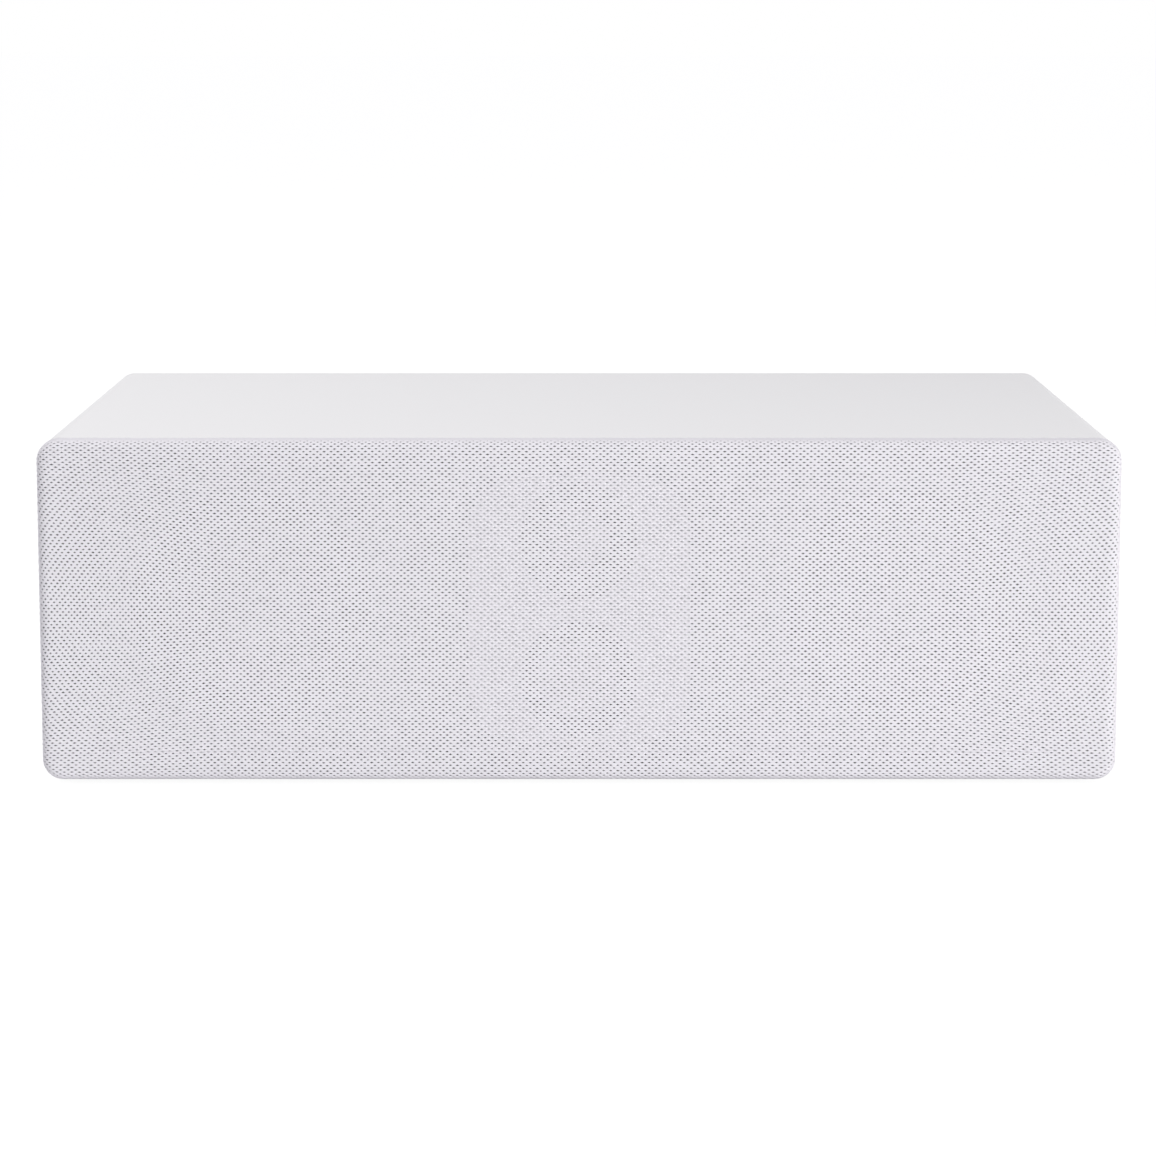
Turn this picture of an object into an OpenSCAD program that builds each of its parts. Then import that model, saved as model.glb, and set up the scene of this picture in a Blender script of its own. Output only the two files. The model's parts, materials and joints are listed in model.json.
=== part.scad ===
// Tabletop three-way loudspeaker with a full-face cloth grille.
// Millimetres, +Z up, the listener sits at -Y, origin under the middle of the box.

/* [Cabinet] */
// Width of the cabinet and of the grille
cabinet_width = 420; // [380:1:480]
// Height of the cabinet without its feet
cabinet_height = 134; // [121:1:150]
// Depth of the cabinet without the grille
cabinet_depth = 216; // [200:1:260]
// Radius of the four long edges
edge_radius = 8; // [5:0.5:10]
// Thickness of the cabinet walls
cabinet_wall = 14; // [13:0.5:15]
// Step in the walls that the baffle and the rear panel sit in
rebate = 4; // [3:0.5:5]
// Thickness of the two upright dividers inside
divider_thickness = 8; // [6:0.5:10]
// Side of the square blocks in the rear corners that take the panel screws
corner_block = 16; // [14:1:20]

/* [Feet] */
// Height of the rubber feet
foot_height = 2; // [1.5:0.5:5]
// Radius of a foot
foot_radius = 9; // [6:0.5:12]
// Distance from a foot's axis to the cabinet's sides, front and back
foot_inset = 30; // [20:1:45]

/* [Grille] */
// How far the grille stands in front of the cabinet
grille_depth = 9; // [8:0.5:12]
// Radius at which the cloth turns over the front edge
cloth_edge_radius = 4; // [3:0.5:5]
// Thickness of the cloth
cloth_thickness = 0.8; // [0.6:0.1:1.2]
// Width of the grille frame's rim
frame_rim = 9; // [8:0.5:9.5]
// Width of the grille frame's upright ribs
frame_rib = 5; // [4:0.5:8]
// Thickness of the grille frame's rim and ribs
frame_thickness = 5; // [4:0.5:6]
// Radius of the pegs that hold the grille
peg_radius = 3; // [2.5:0.25:3.5]
// Length of the pegs inside their rubber cups
peg_length = 7; // [6:0.5:8]
// Wall of the rubber cups
cup_wall = 1.8; // [1.5:0.1:2]

/* [Baffle] */
// Thickness of the baffle
baffle_thickness = 12; // [11:0.5:15]
// How far the baffle lies behind the cabinet's front edge
baffle_inset = 2; // [1:0.5:3]
// How far the drivers' common height lies below the middle of the cabinet
driver_drop = 1; // [0:0.5:1.5]

/* [Woofers] */
// Width of a woofer's frame
woofer_width = 115; // [112:1:118]
// Room above and below a woofer's frame on the baffle
woofer_edge = 5; // [4:0.5:7]
// Corner radius of a woofer's frame
woofer_corner = 22; // [16:1:26]
// Thickness of a woofer's flange
flange_thickness = 3; // [2.5:0.25:4]
// Thickness of the foam gasket under the flange
gasket_thickness = 1; // [0.5:0.25:1.5]
// Distance from the top of a woofer's frame to the edge of its cone
woofer_rim = 16; // [15:0.5:19]
// Depth of a woofer's cone
woofer_cone_depth = 17; // [14:0.5:18]
// Radius of the half roll of a woofer's surround
woofer_roll = 4.4; // [3.5:0.1:4.4]
// Radius of a woofer's voice coil former
woofer_coil = 13; // [11:0.5:14]
// Radius of a woofer's dust cap
woofer_cap = 18; // [16:0.5:20]
// Depth of a woofer's basket behind its flange
basket_depth = 35; // [33:0.5:40]
// Radius of a woofer's ring magnet
woofer_magnet_radius = 40; // [36:0.5:43]
// Height of a woofer's ring magnet
woofer_magnet_height = 14; // [10:0.5:18]

/* [Centre drivers] */
// Width of the silver centre plate
plate_width = 86; // [80:1:92]
// Room above and below the silver centre plate on the baffle
plate_edge = 4; // [3:0.5:6]
// Corner radius of the centre plate
plate_corner = 21; // [16:1:24]
// Thickness of the centre plate
plate_thickness = 2.5; // [2:0.25:3.5]
// Metal above and below the plate's two round openings
hole_edge = 2.2; // [1.6:0.1:3]
// Metal between the plate's two round openings
hole_gap = 8.4; // [6:0.2:10]
// Radius of the tweeter's dome
dome_radius = 12.5; // [11.5:0.25:13]
// Height of the tweeter's dome
dome_rise = 4.5; // [3.5:0.25:5.5]
// How much smaller the tweeter's magnet cup is than its opening
tweeter_cup_step = 3.3; // [2.5:0.1:4.5]
// Depth of the tweeter's magnet cup
tweeter_cup_depth = 20; // [16:1:26]
// Distance from the midrange's opening to the edge of its cone
mid_rim = 6.1; // [5.7:0.1:7]
// Depth of the midrange's cone
mid_cone_depth = 8.5; // [7:0.5:9]
// Radius of the half roll of the midrange's surround
mid_roll = 1.9; // [1.4:0.1:2]
// Radius of the midrange's voice coil former
mid_coil = 7; // [6:0.5:8]
// How much wider the midrange's ring magnet is than its cone
mid_magnet_step = 1.8; // [0.5:0.1:3]
// Width of the closed chamber behind the midrange
chamber_width = 60; // [52:1:70]
// Depth of the closed chamber behind the midrange
chamber_depth = 46; // [40:1:60]

/* [Rear] */
// Thickness of the rear panel
rear_thickness = 6; // [5:0.5:8]
// How far the rear panel lies inside the cabinet's rear edge
rear_inset = 3; // [2.5:0.5:5]
// Bore radius of the bass ports
port_radius = 20; // [16:0.5:22]
// Length of the bass ports
port_length = 96; // [70:1:110]
// Wall of the bass ports
port_wall = 2.4; // [2:0.2:3]
// Radius of the port's flare where it meets the air
port_flare = 9; // [6:0.5:10]
// Width of the recessed connection tray
tray_width = 92; // [88:1:100]
// Height of the recessed connection tray
tray_height = 66; // [62:1:72]
// Depth of the recessed connection tray
tray_depth = 14; // [12:0.5:20]
// Wall of the connection tray
tray_wall = 2; // [1.6:0.2:2.6]
// Length of the four posts that carry the amplifier board
post_length = 16; // [15:0.5:20]

/* [Controls] */
// Width of the power rocker
rocker_width = 10; // [8:0.5:12]
// Height of the power rocker
rocker_height = 19; // [16:0.5:22]
// Angle that the power rocker swings through
rocker_swing = 14; // [10:1:16]
// Radius of the pairing button
button_radius = 4; // [3:0.25:5]
// Travel of the pairing button
button_travel = 0.8; // [0.5:0.1:1.2]

/* [Electronics] */
// Width of the heat sink on the amplifier board
sink_width = 34; // [28:1:36]
// Height of the heat sink with its fins
fin_height = 16; // [10:1:24]
// Radius of the four capacitors
capacitor_radius = 5.5; // [4:0.25:5.75]
// Height of the four capacitors
capacitor_height = 20; // [12:1:30]
// Width of the transformer's core
core_width = 28; // [24:1:30]
// Height of the transformer's core
core_height = 24; // [18:1:30]

/* [Fits] */
// Room around a panel or a driver in its seat
seat_gap = 0.2; // [0.1:0.05:0.3]
// Room around a moving control
control_gap = 0.3; // [0.25:0.05:0.4]

/* [Hidden] */
$fn = 96;

// Places along the depth, from the front to the back
overall_depth = cabinet_depth + grille_depth;
grille_front = -overall_depth / 2;
cabinet_front = grille_front + grille_depth;
cabinet_back = overall_depth / 2;
baffle_front = cabinet_front + baffle_inset;
baffle_back = baffle_front + baffle_thickness;
panel_outside = cabinet_back - rear_inset;
panel_inside = panel_outside - rear_thickness;

// Heights and widths that several pieces share
middle = foot_height + cabinet_height / 2;
driver_height = middle - driver_drop;
seat_wall = cabinet_wall - rebate;
inner_width = cabinet_width - 2 * cabinet_wall;
inner_height = cabinet_height - 2 * cabinet_wall;
seat_width = cabinet_width - 2 * seat_wall;
seat_height = cabinet_height - 2 * seat_wall;
seat_corner = 4;
inner_corner = 2;

// Screws
screw_shank = 1.8;
screw_pilot = 1.3;
screw_bite = 9;
screw_head = 3.4;
screw_head_height = 1.8;
cross_length = 4;
cross_width = 0.9;
block_screw_x = inner_width / 2 - corner_block / 2;
block_screw_z = inner_height / 2 - corner_block / 2;

// Dividers, whose rear ends take panel screws beside the tray's flange
tray_flange = 2;
tray_edge = 3;
screw_room = 3;
aisle_x = tray_width / 2 + tray_edge + screw_head + screw_room;
wire_hole = 6;
wire_hole_y = (panel_inside - baffle_back) / 2;

// Grille pegs and their cups in the corners of the baffle and over the dividers
cup_radius = peg_radius + cup_wall;
cup_edge = 1.6;
peg_boss = peg_radius + 2;
peg_outer_x = seat_width / 2 - cup_edge - cup_radius;
peg_rise = seat_height / 2 - cup_edge - cup_radius;
frame_gap = 0.1;
frame_front = grille_depth - cloth_thickness - frame_gap;
frame_skirt = 2.5;
window_corner = 4;

// Woofers, each in the middle of the room between a divider and the side wall
woofer_x = (inner_width / 2 + aisle_x + divider_thickness / 2) / 2;
woofer_y = baffle_front + flange_thickness;
woofer_height = seat_height - 2 * woofer_edge;
woofer_cone_radius = woofer_height / 2 - woofer_rim;

// Sizes inside the woofers, whose own height is zero at the back of the flange
skin = 0.8;
thin_skin = 0.5;
shelf_depth = 1.5;
surround_lip = 2.6;
lip_gap = 0.2;
cone_steps = 6;
woofer_opening = woofer_cone_radius + 2 * woofer_roll - 0.6;
woofer_shelf = woofer_cone_radius + 2 * woofer_roll + surround_lip;
woofer_body = woofer_shelf + lip_gap;
woofer_cutout = woofer_body + 0.3;
woofer_screw_x = woofer_width / 2 - 15.5;
woofer_screw_z = woofer_height / 2 - 14;
coil_wall = 0.5;
coil_winding = 0.5;
magnet_gap = 0.6;
motor_plate = 5;
magnet_step = 4;
magnet_hole = 8;
pole_vent = 3.5;
ledge_depth = 22;
ledge_radius = 2 * woofer_coil + 4.5;
ledge_wall = 2;
ledge_gap = 0.5;
basket_wall = 3;
basket_windows = 6;
window_size = [26, 24, 12];
window_inset = 6;
spider_waves = 4;
spider_rise = 0.9;
spider_lip = 4.4;
winding_height = 10;
coil_reach = 3;
cap_seat = shelf_depth + cone_height((woofer_cap - woofer_coil) / (woofer_cone_radius - woofer_coil),
    woofer_cone_depth);

// The centre plate and its two openings
plate_height = seat_height - 2 * plate_edge;
plate_hole = (plate_height - 2 * hole_edge - hole_gap) / 4;
driver_spacing = 2 * plate_hole + hole_gap;
tweeter_z = driver_height + driver_spacing / 2;
midrange_z = driver_height - driver_spacing / 2;
plate_pin = 2;
plate_pin_length = 6;
plate_pin_x = plate_width / 2 - 8;
plate_pin_z = plate_height / 2 - 8.5;
middle_pin_x = plate_width / 2 - 6;
small_flange = plate_hole + 2.2;
small_flange_thickness = 3;

// Tweeter
tweeter_cup_radius = plate_hole - tweeter_cup_step;
tweeter_roll = 0.8;
tweeter_lip = 2;
tweeter_seat = -small_flange_thickness - thin_skin;
tweeter_coil_height = 6;
tweeter_coil_radius = dome_radius - 0.3;
coil_room = 0.5;
pole_drop = 3;
throat = dome_radius + 2.6;
horn_steps = 8;
horn_lip = plate_hole - 1;

// Midrange
mid_cone_radius = plate_hole - mid_rim;
mid_magnet_radius = mid_cone_radius + mid_magnet_step;
mid_lip = 1.3;
mid_seat = 1;
mid_opening = mid_cone_radius + 2 * mid_roll - 0.3;
mid_frame_radius = mid_cone_radius + 2 * mid_roll + mid_lip;
mid_foot_radius = mid_frame_radius - 5;
mid_basket_depth = 15;
mid_basket_wall = 2;
mid_motor_plate = 3;
mid_magnet_height = 8;
mid_winding_height = 5;
mid_window_size = [12, 16, 7];
mid_window_depth = 8;
mid_cap = 9.5;
mid_cap_seat = cone_height((mid_cap - mid_coil) / (mid_cone_radius - mid_coil), mid_cone_depth) - mid_seat;
chamber_height = 2 * (midrange_z - foot_height - cabinet_wall - seat_gap);
chamber_corner = 6;
chamber_wall = 2;

// Bass ports
port_rim = 2;
port_rim_radius = port_radius + port_flare + 2;
port_collar = port_radius + port_wall + 3;

// Places in the connection tray, whose own height is zero on the outside of the panel
tray_corner = 3.8;
tray_floor = tray_depth - tray_wall;
inlet_x = -26;
rocker_x = -3;
button_x = 16;
socket_x = 32;

// Mains inlet
inlet_width = 22;
inlet_height = 15;
inlet_corner = 2;
inlet_flange = 1.5;
inlet_base = 3;
inlet_pitch = 8.6;
inlet_depth = 13;
inlet_hole = 4.4;
inlet_pin = 1.2;
fitting_edge = 2;

// Power rocker and its housing
housing_width = rocker_width + 4;
housing_height = rocker_height + 4;
housing_depth = 11;
housing_flange = 1;
rocker_pivot = tray_floor + 3;
rocker_face = 3.6;
rocker_half = rocker_height / 2 - 0.6;
rocker_taper = 1.5;
rocker_foot = [3, 2.5];
pin_radius = 1.2;
pin_reach = 1;
pin_gap = 0.05;

// Pairing button and the push switch behind it
button_collar = 1.2;
button_collar_height = 1.5;
button_proud = 1.6;
button_stem = 1.5;
switch_height = 4;
switch_side = 6;
switch_knob = 1.7;

// Line socket
socket_barrel = 3.6;
socket_rim = 1.6;
socket_rim_height = 1.2;
socket_bore = 1.8;
socket_reach = 9;
socket_length = 12;

// Amplifier board on its four posts, which stand on the tray
post_inset = 6;
post_radius = 3;
post_x = tray_width / 2 - post_inset;
post_z = tray_height / 2 - post_inset;
board_seat = tray_depth + post_length;
board_thickness = 1.6;
board_front = board_seat + board_thickness;
board_edge = 4;
board_width = 2 * post_x + 2 * board_edge;
board_height = 2 * post_z + 2 * board_edge;

// Pieces on the board, placed across and up from the board's edges
sink_length = sink_width - 8;
sink_base = 3;
sink_place = [9 + sink_width / 2 - board_width / 2, board_height / 2 - 6 - sink_length / 2];
fin_count = 7;
fin_thickness = 1.6;
core_thickness = 8;
core_flange = 3;
winding_width = core_width - 6;
winding_length = core_width - 2;
winding_corner = 4;
transformer_place = [board_width / 2 - 10 - core_width / 2, board_height / 2 - 8 - winding_length / 2];
module_board = [22, 16];
module_board_thickness = 1;
module_can = [15, 13];
module_can_height = 3.3;
module_can_shift = -2;
module_place = [board_width / 2 - 6 - module_board.x / 2, 6 + module_board.y / 2 - board_height / 2];
capacitor_count = 4;
capacitor_place = [12 - board_width / 2, 14 - board_height / 2];
capacitor_end = module_place.x - module_board.x / 2 - 0.5 - capacitor_radius;
capacitor_pitch = (capacitor_end - capacitor_place.x) / (capacitor_count - 1);

// Groove round the feet
foot_groove = 0.8;

// Turns a piece drawn on its back so that its own height points to the listener
module facing(x, y, z) {
    translate([x, y, z]) rotate([90, 0, 0]) children();
}

module rounded(width, height, radius) {
    square([width - 2 * radius, height], center = true);
    square([width, height - 2 * radius], center = true);
    for (side = [-1, 1], level = [-1, 1])
        translate([side * (width / 2 - radius), level * (height / 2 - radius)]) circle(radius);
}

// Places children in the four corners of a rectangle
module corners(x, y) {
    for (side = [-1, 1], level = [-1, 1]) translate([side * x, level * y]) children();
}

module ring(outer, inner, height) {
    linear_extrude(height) difference() {
        circle(outer);
        circle(inner);
    }
}

// Cabinet and panels

module cabinet() {
    color("white") {
        facing(0, cabinet_back, middle) difference() {
            linear_extrude(cabinet_depth) rounded(cabinet_width, cabinet_height, edge_radius);
            translate([0, 0, -1])
                linear_extrude(cabinet_depth + 2) rounded(inner_width, inner_height, inner_corner);
            translate([0, 0, -1])
                linear_extrude(cabinet_back - panel_inside + 1) rounded(seat_width, seat_height, seat_corner);
            translate([0, 0, cabinet_back - baffle_back])
                linear_extrude(baffle_back - cabinet_front + 1) rounded(seat_width, seat_height, seat_corner);
        }
        facing(0, panel_inside, middle) difference() {
            corners(inner_width / 2 - corner_block / 2 + 1, inner_height / 2 - corner_block / 2 + 1)
                linear_extrude(corner_block) square(corner_block + 2, center = true);
            panel_screw_places() cylinder(r = screw_pilot, h = 2 * screw_bite, center = true);
        }
    }
}

module panel_screw_places() {
    corners(block_screw_x, block_screw_z) children();
    corners(aisle_x, block_screw_z) children();
}

module front_baffle() {
    color("dimgray") facing(0, baffle_back, middle) difference() {
        linear_extrude(baffle_thickness)
            rounded(seat_width - 2 * seat_gap, seat_height - 2 * seat_gap, seat_corner);
        translate([0, -driver_drop, 0]) {
            for (side = [-1, 1]) translate([side * woofer_x, 0, 0]) woofer_seat();
            translate([0, driver_spacing / 2, 0]) small_driver_seat(tweeter_cup_radius + seat_gap);
            translate([0, -driver_spacing / 2, 0]) small_driver_seat(mid_frame_radius + seat_gap);
            translate([0, 0, baffle_thickness - plate_pin_length - seat_gap]) plate_pin_places()
                cylinder(r = plate_pin + seat_gap, h = plate_pin_length + 1);
        }
        translate([0, 0, baffle_thickness - peg_length - cup_wall]) peg_places()
            cylinder(r = cup_radius, h = peg_length + cup_wall + 1);
    }
}

module woofer_seat() {
    seat_depth = flange_thickness + gasket_thickness;
    translate([0, 0, -1]) cylinder(r = woofer_cutout, h = baffle_thickness + 2);
    translate([0, 0, baffle_thickness - seat_depth]) linear_extrude(seat_depth + 1)
        rounded(woofer_width + 2 * seat_gap, woofer_height + 2 * seat_gap, woofer_corner);
    corners(woofer_screw_x, woofer_screw_z)
        translate([0, 0, 1]) cylinder(r = screw_pilot, h = baffle_thickness);
}

module small_driver_seat(cutout) {
    translate([0, 0, -1]) cylinder(r = cutout, h = baffle_thickness + 2);
    translate([0, 0, baffle_thickness - small_flange_thickness])
        cylinder(r = small_flange + seat_gap, h = small_flange_thickness + 1);
}

module peg_places() {
    corners(peg_outer_x, peg_rise) children();
    corners(aisle_x, peg_rise) children();
}

module divider(side) {
    color("tan") translate([side * aisle_x - divider_thickness / 2, baffle_back, 0]) difference() {
        translate([0, 0, middle - inner_height / 2])
            cube([divider_thickness, panel_inside - baffle_back, inner_height]);
        translate([-1, 0, middle]) rotate([0, 90, 0]) {
            translate([0, wire_hole_y, 0]) cylinder(r = wire_hole, h = divider_thickness + 2);
        }
        for (level = [-1, 1])
            translate([divider_thickness / 2, panel_inside - baffle_back, middle + level * block_screw_z])
                rotate([90, 0, 0]) cylinder(r = screw_pilot, h = 2 * screw_bite, center = true);
    }
}

// Grille

// A box with rounded outline and a rounded front edge, its back at zero
module soft_slab(width, height, depth, outline_radius, front_radius) {
    hull() corners(width / 2 - outline_radius, height / 2 - outline_radius)
        rotate_extrude($fn = 32) {
            square([outline_radius, depth - front_radius]);
            square([outline_radius - front_radius, depth]);
            intersection() {
                translate([outline_radius - front_radius, depth - front_radius])
                    circle(front_radius, $fn = 32);
                square([outline_radius, depth]);
            }
        }
}

module cloth_inside(depth, gap) {
    inset = cloth_thickness + gap;
    soft_slab(cabinet_width - 2 * inset, cabinet_height - 2 * inset, depth,
        edge_radius - inset, cloth_edge_radius - inset);
}

module grille_cloth() {
    color("lavender") facing(0, cabinet_front, middle) difference() {
        soft_slab(cabinet_width, cabinet_height, grille_depth, edge_radius, cloth_edge_radius);
        translate([0, 0, -1]) cloth_inside(grille_depth - cloth_thickness + 1, 0);
    }
}

module grille_frame() {
    window_height = cabinet_height - 2 * frame_rim - 2 * cloth_thickness;
    pocket = 2 * (cloth_thickness + frame_skirt);
    side_window = peg_outer_x - peg_boss - aisle_x - frame_rib / 2;
    color("gray") facing(0, cabinet_front, middle) {
        difference() {
            cloth_inside(frame_front, frame_gap);
            translate([0, 0, -1]) linear_extrude(grille_depth + 2) {
                rounded(2 * aisle_x - frame_rib, window_height, window_corner);
                for (side = [-1, 1])
                    translate([side * (aisle_x + frame_rib / 2 + side_window / 2), 0])
                        rounded(side_window, window_height, window_corner);
            }
            translate([0, 0, -1]) linear_extrude(frame_front - frame_thickness + 1)
                rounded(cabinet_width - pocket, cabinet_height - pocket, edge_radius - pocket / 2);
        }
        peg_places() translate([0, 0, -baffle_inset - peg_length])
            cylinder(r = peg_radius, h = peg_length + baffle_inset + frame_front - frame_thickness + 1);
        peg_places() translate([0, 0, frame_front - frame_thickness])
            cylinder(r = peg_boss, h = frame_thickness - 1.5);
    }
}

module grille_cups() {
    color("black") facing(0, baffle_front, middle) peg_places()
        translate([0, 0, -peg_length - cup_wall]) difference() {
            cylinder(r = cup_radius, h = peg_length + cup_wall);
            translate([0, 0, cup_wall]) cylinder(r = peg_radius, h = peg_length + 1);
        }
}

// Parts that woofers and midrange share, drawn with their own height towards the listener

module surround(edge, roll, lip, thickness) {
    crest = edge + roll;
    rotate_extrude() {
        translate([crest, 0]) intersection() {
            difference() {
                circle(roll + thickness / 2);
                circle(roll - thickness / 2);
            }
            translate([-2 * roll, 0]) square([4 * roll, 2 * roll]);
        }
        translate([crest + roll, 0]) square([lip, thickness]);
        translate([edge - lip, 0]) square([lip, thickness]);
    }
}

// Height of the paper at a share of the way from the neck to the edge
function cone_height(share, depth) = -depth * pow(1 - share, 1.25);

module cone(edge, neck, depth, thickness) {
    shares = [for (step = [0:cone_steps]) step / cone_steps];
    rotate_extrude() polygon(concat(
        [for (s = shares) [neck + (edge - neck) * s, cone_height(s, depth)]],
        [for (s = shares) [edge - (edge - neck) * s, cone_height(1 - s, depth) - thickness]]
    ));
}

module dome(radius, rise, thickness) {
    ball = (radius * radius + rise * rise) / (2 * rise);
    rotate_extrude() intersection() {
        translate([0, rise - ball]) difference() {
            circle(ball);
            circle(ball - thickness);
        }
        square([radius, rise]);
    }
}

module spider(inner, outer, thickness) {
    steps = 6 * spider_waves;
    function wave(s) = spider_rise * sin(360 * spider_waves * s);
    function place(s) = inner + (outer - spider_lip - inner) * s;
    shares = [for (step = [0:steps]) step / steps];
    rotate_extrude() polygon(concat(
        [for (s = shares) [place(s), wave(s)]],
        [[outer, 0], [outer, -thickness]],
        [for (s = shares) [place(1 - s), wave(1 - s) - thickness]]
    ));
}

module coil(radius, top, bottom, winding) {
    translate([0, 0, bottom]) ring(radius, radius - coil_wall, top - bottom);
    translate([0, 0, bottom]) ring(radius + coil_winding, radius - coil_wall / 2, winding);
}

// Woofers

module woofer_basket() {
    color("darkslategray") difference() {
        union() {
            linear_extrude(flange_thickness) difference() {
                rounded(woofer_width, woofer_height, woofer_corner);
                circle(woofer_opening);
                corners(woofer_screw_x, woofer_screw_z) circle(screw_shank + 2 * seat_gap);
            }
            rotate_extrude() polygon([
                [woofer_opening, 1], [woofer_body, 1], [woofer_body, -basket_wall],
                [ledge_radius + 2 * ledge_wall, -ledge_depth - ledge_wall],
                [ledge_radius - ledge_wall, -ledge_depth - 2 * ledge_wall],
                [ledge_radius - ledge_wall, -basket_depth], [woofer_coil + basket_wall, -basket_depth],
                [woofer_coil + basket_wall, basket_wall - basket_depth],
                [ledge_radius - 2 * ledge_wall, basket_wall - basket_depth],
                [ledge_radius - 2 * ledge_wall, -ledge_depth], [ledge_radius + ledge_gap, -ledge_depth],
                [woofer_opening, -ledge_wall]
            ]);
        }
        translate([0, 0, shelf_depth]) cylinder(r = woofer_shelf, h = flange_thickness);
        for (turn = [0:basket_windows - 1]) rotate((turn + 0.5) * 360 / basket_windows)
            translate([woofer_opening - window_inset, 0, -window_size.z]) cube(window_size, center = true);
    }
}

module woofer_gasket() {
    color("black") translate([0, 0, -gasket_thickness]) linear_extrude(gasket_thickness) difference() {
        rounded(woofer_width, woofer_height, woofer_corner);
        circle(woofer_body + seat_gap);
        corners(woofer_screw_x, woofer_screw_z) circle(screw_shank + seat_gap);
    }
}

module woofer_surround() {
    color("#202020") translate([0, 0, shelf_depth])
        surround(woofer_cone_radius, woofer_roll, surround_lip - lip_gap, skin);
}

module woofer_cone() {
    color("#303236") translate([0, 0, shelf_depth])
        cone(woofer_cone_radius, woofer_coil, woofer_cone_depth, skin);
}

module woofer_dust_cap() {
    color("#26282c") translate([0, 0, cap_seat]) dome(woofer_cap, woofer_cap / 3, skin);
}

module woofer_spider() {
    color("goldenrod") translate([0, 0, skin - ledge_depth]) spider(woofer_coil, ledge_radius, skin);
}

module woofer_coil_former() {
    color("peru") coil(woofer_coil, shelf_depth - woofer_cone_depth,
        -basket_depth - motor_plate - coil_reach, winding_height);
}

module woofer_top_plate() {
    color("silver") translate([0, 0, -basket_depth - motor_plate])
        ring(woofer_magnet_radius - magnet_step, woofer_coil + coil_winding + magnet_gap, motor_plate);
}

module woofer_magnet() {
    color("#3a3a3a") translate([0, 0, -basket_depth - motor_plate - woofer_magnet_height])
        ring(woofer_magnet_radius, woofer_coil + magnet_hole, woofer_magnet_height);
}

module woofer_yoke() {
    bottom = -basket_depth - motor_plate - woofer_magnet_height;
    pole = woofer_coil - coil_wall - magnet_gap;
    color("silver") difference() {
        union() {
            translate([0, 0, bottom - motor_plate])
                cylinder(r = woofer_magnet_radius - magnet_step, h = motor_plate);
            translate([0, 0, bottom - 1]) cylinder(r = pole, h = -basket_depth - bottom + 1);
        }
        translate([0, 0, bottom - motor_plate - 1])
            cylinder(r = pole_vent, h = 2 * motor_plate + woofer_magnet_height + 2);
    }
}

// A pan head screw whose head sits on zero and whose point reaches down
module screw(length) {
    difference() {
        union() {
            cylinder(r = screw_head, h = screw_head_height);
            translate([0, 0, -length]) cylinder(r = screw_pilot, h = length + 1);
        }
        for (turn = [0, 90]) rotate(turn)
            translate([0, 0, screw_head_height])
                cube([cross_length, cross_width, screw_head_height], center = true);
    }
}

module woofer_screws() {
    color("#202020") for (side = [-1, 1])
        facing(side * woofer_x, baffle_front, driver_height)
            corners(woofer_screw_x, woofer_screw_z) screw(screw_bite);
}

// Tweeter, midrange and their silver plate

module plate_pin_places() {
    corners(plate_pin_x, plate_pin_z) children();
    for (side = [-1, 1]) translate([side * middle_pin_x, 0]) children();
}

module centre_plate() {
    color("silver") facing(0, baffle_front, driver_height) {
        linear_extrude(plate_thickness) difference() {
            rounded(plate_width, plate_height, plate_corner);
            for (level = [-1, 1]) translate([0, level * driver_spacing / 2]) circle(plate_hole);
        }
        translate([0, 0, -plate_pin_length]) plate_pin_places()
            cylinder(r = plate_pin, h = plate_pin_length + 1);
    }
}

module tweeter_waveguide() {
    curve = [for (step = [0:horn_steps]) [
        horn_lip - (horn_lip - throat) * sin(90 * step / horn_steps),
        plate_thickness - (plate_thickness + small_flange_thickness) * (1 - cos(90 * step / horn_steps))
    ]];
    color("#2b2d31") rotate_extrude() polygon(concat([
        [throat, -small_flange_thickness], [small_flange, -small_flange_thickness], [small_flange, 0],
        [plate_hole - seat_gap, 0], [plate_hole - seat_gap, plate_thickness]
    ], [for (step = [0:horn_steps - 1]) curve[step]]));
}

module tweeter_surround() {
    color("#1c1c1c") translate([0, 0, tweeter_seat])
        surround(dome_radius, tweeter_roll, tweeter_lip, thin_skin);
}

module tweeter_dome() {
    color("#8a8d92") translate([0, 0, -small_flange_thickness])
        dome(dome_radius - thin_skin, dome_rise, thin_skin);
}

module tweeter_coil() {
    color("peru") translate([0, 0, tweeter_seat - tweeter_coil_height])
        ring(tweeter_coil_radius, tweeter_coil_radius - coil_wall, tweeter_coil_height);
}

module tweeter_cup() {
    color("#44474c") translate([0, 0, tweeter_seat - tweeter_cup_depth]) difference() {
        cylinder(r = tweeter_cup_radius, h = tweeter_cup_depth);
        translate([0, 0, tweeter_cup_depth - tweeter_coil_height - 1])
            ring(tweeter_coil_radius + coil_room, tweeter_coil_radius - coil_wall - coil_room,
                tweeter_coil_height + 2);
        translate([0, 0, tweeter_cup_depth - pole_drop])
            cylinder(r = tweeter_coil_radius - coil_wall, h = pole_drop + 1);
    }
}

module midrange_basket() {
    color("darkslategray") difference() {
        rotate_extrude() polygon([
            [mid_frame_radius, 0], [small_flange, 0], [small_flange, -small_flange_thickness],
            [mid_frame_radius, -small_flange_thickness],
            [mid_foot_radius, mid_basket_wall - mid_basket_depth],
            [mid_foot_radius, -mid_basket_depth], [mid_coil + mid_basket_wall, -mid_basket_depth],
            [mid_coil + mid_basket_wall, mid_basket_wall - mid_basket_depth],
            [mid_foot_radius - mid_basket_wall, mid_basket_wall - mid_basket_depth],
            [mid_opening, -small_flange_thickness], [mid_opening, -mid_seat], [mid_frame_radius, -mid_seat]
        ]);
        for (turn = [0:3]) rotate(90 * turn + 45)
            translate([mid_frame_radius - mid_basket_wall, 0, -mid_window_depth])
                cube(mid_window_size, center = true);
    }
}

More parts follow.
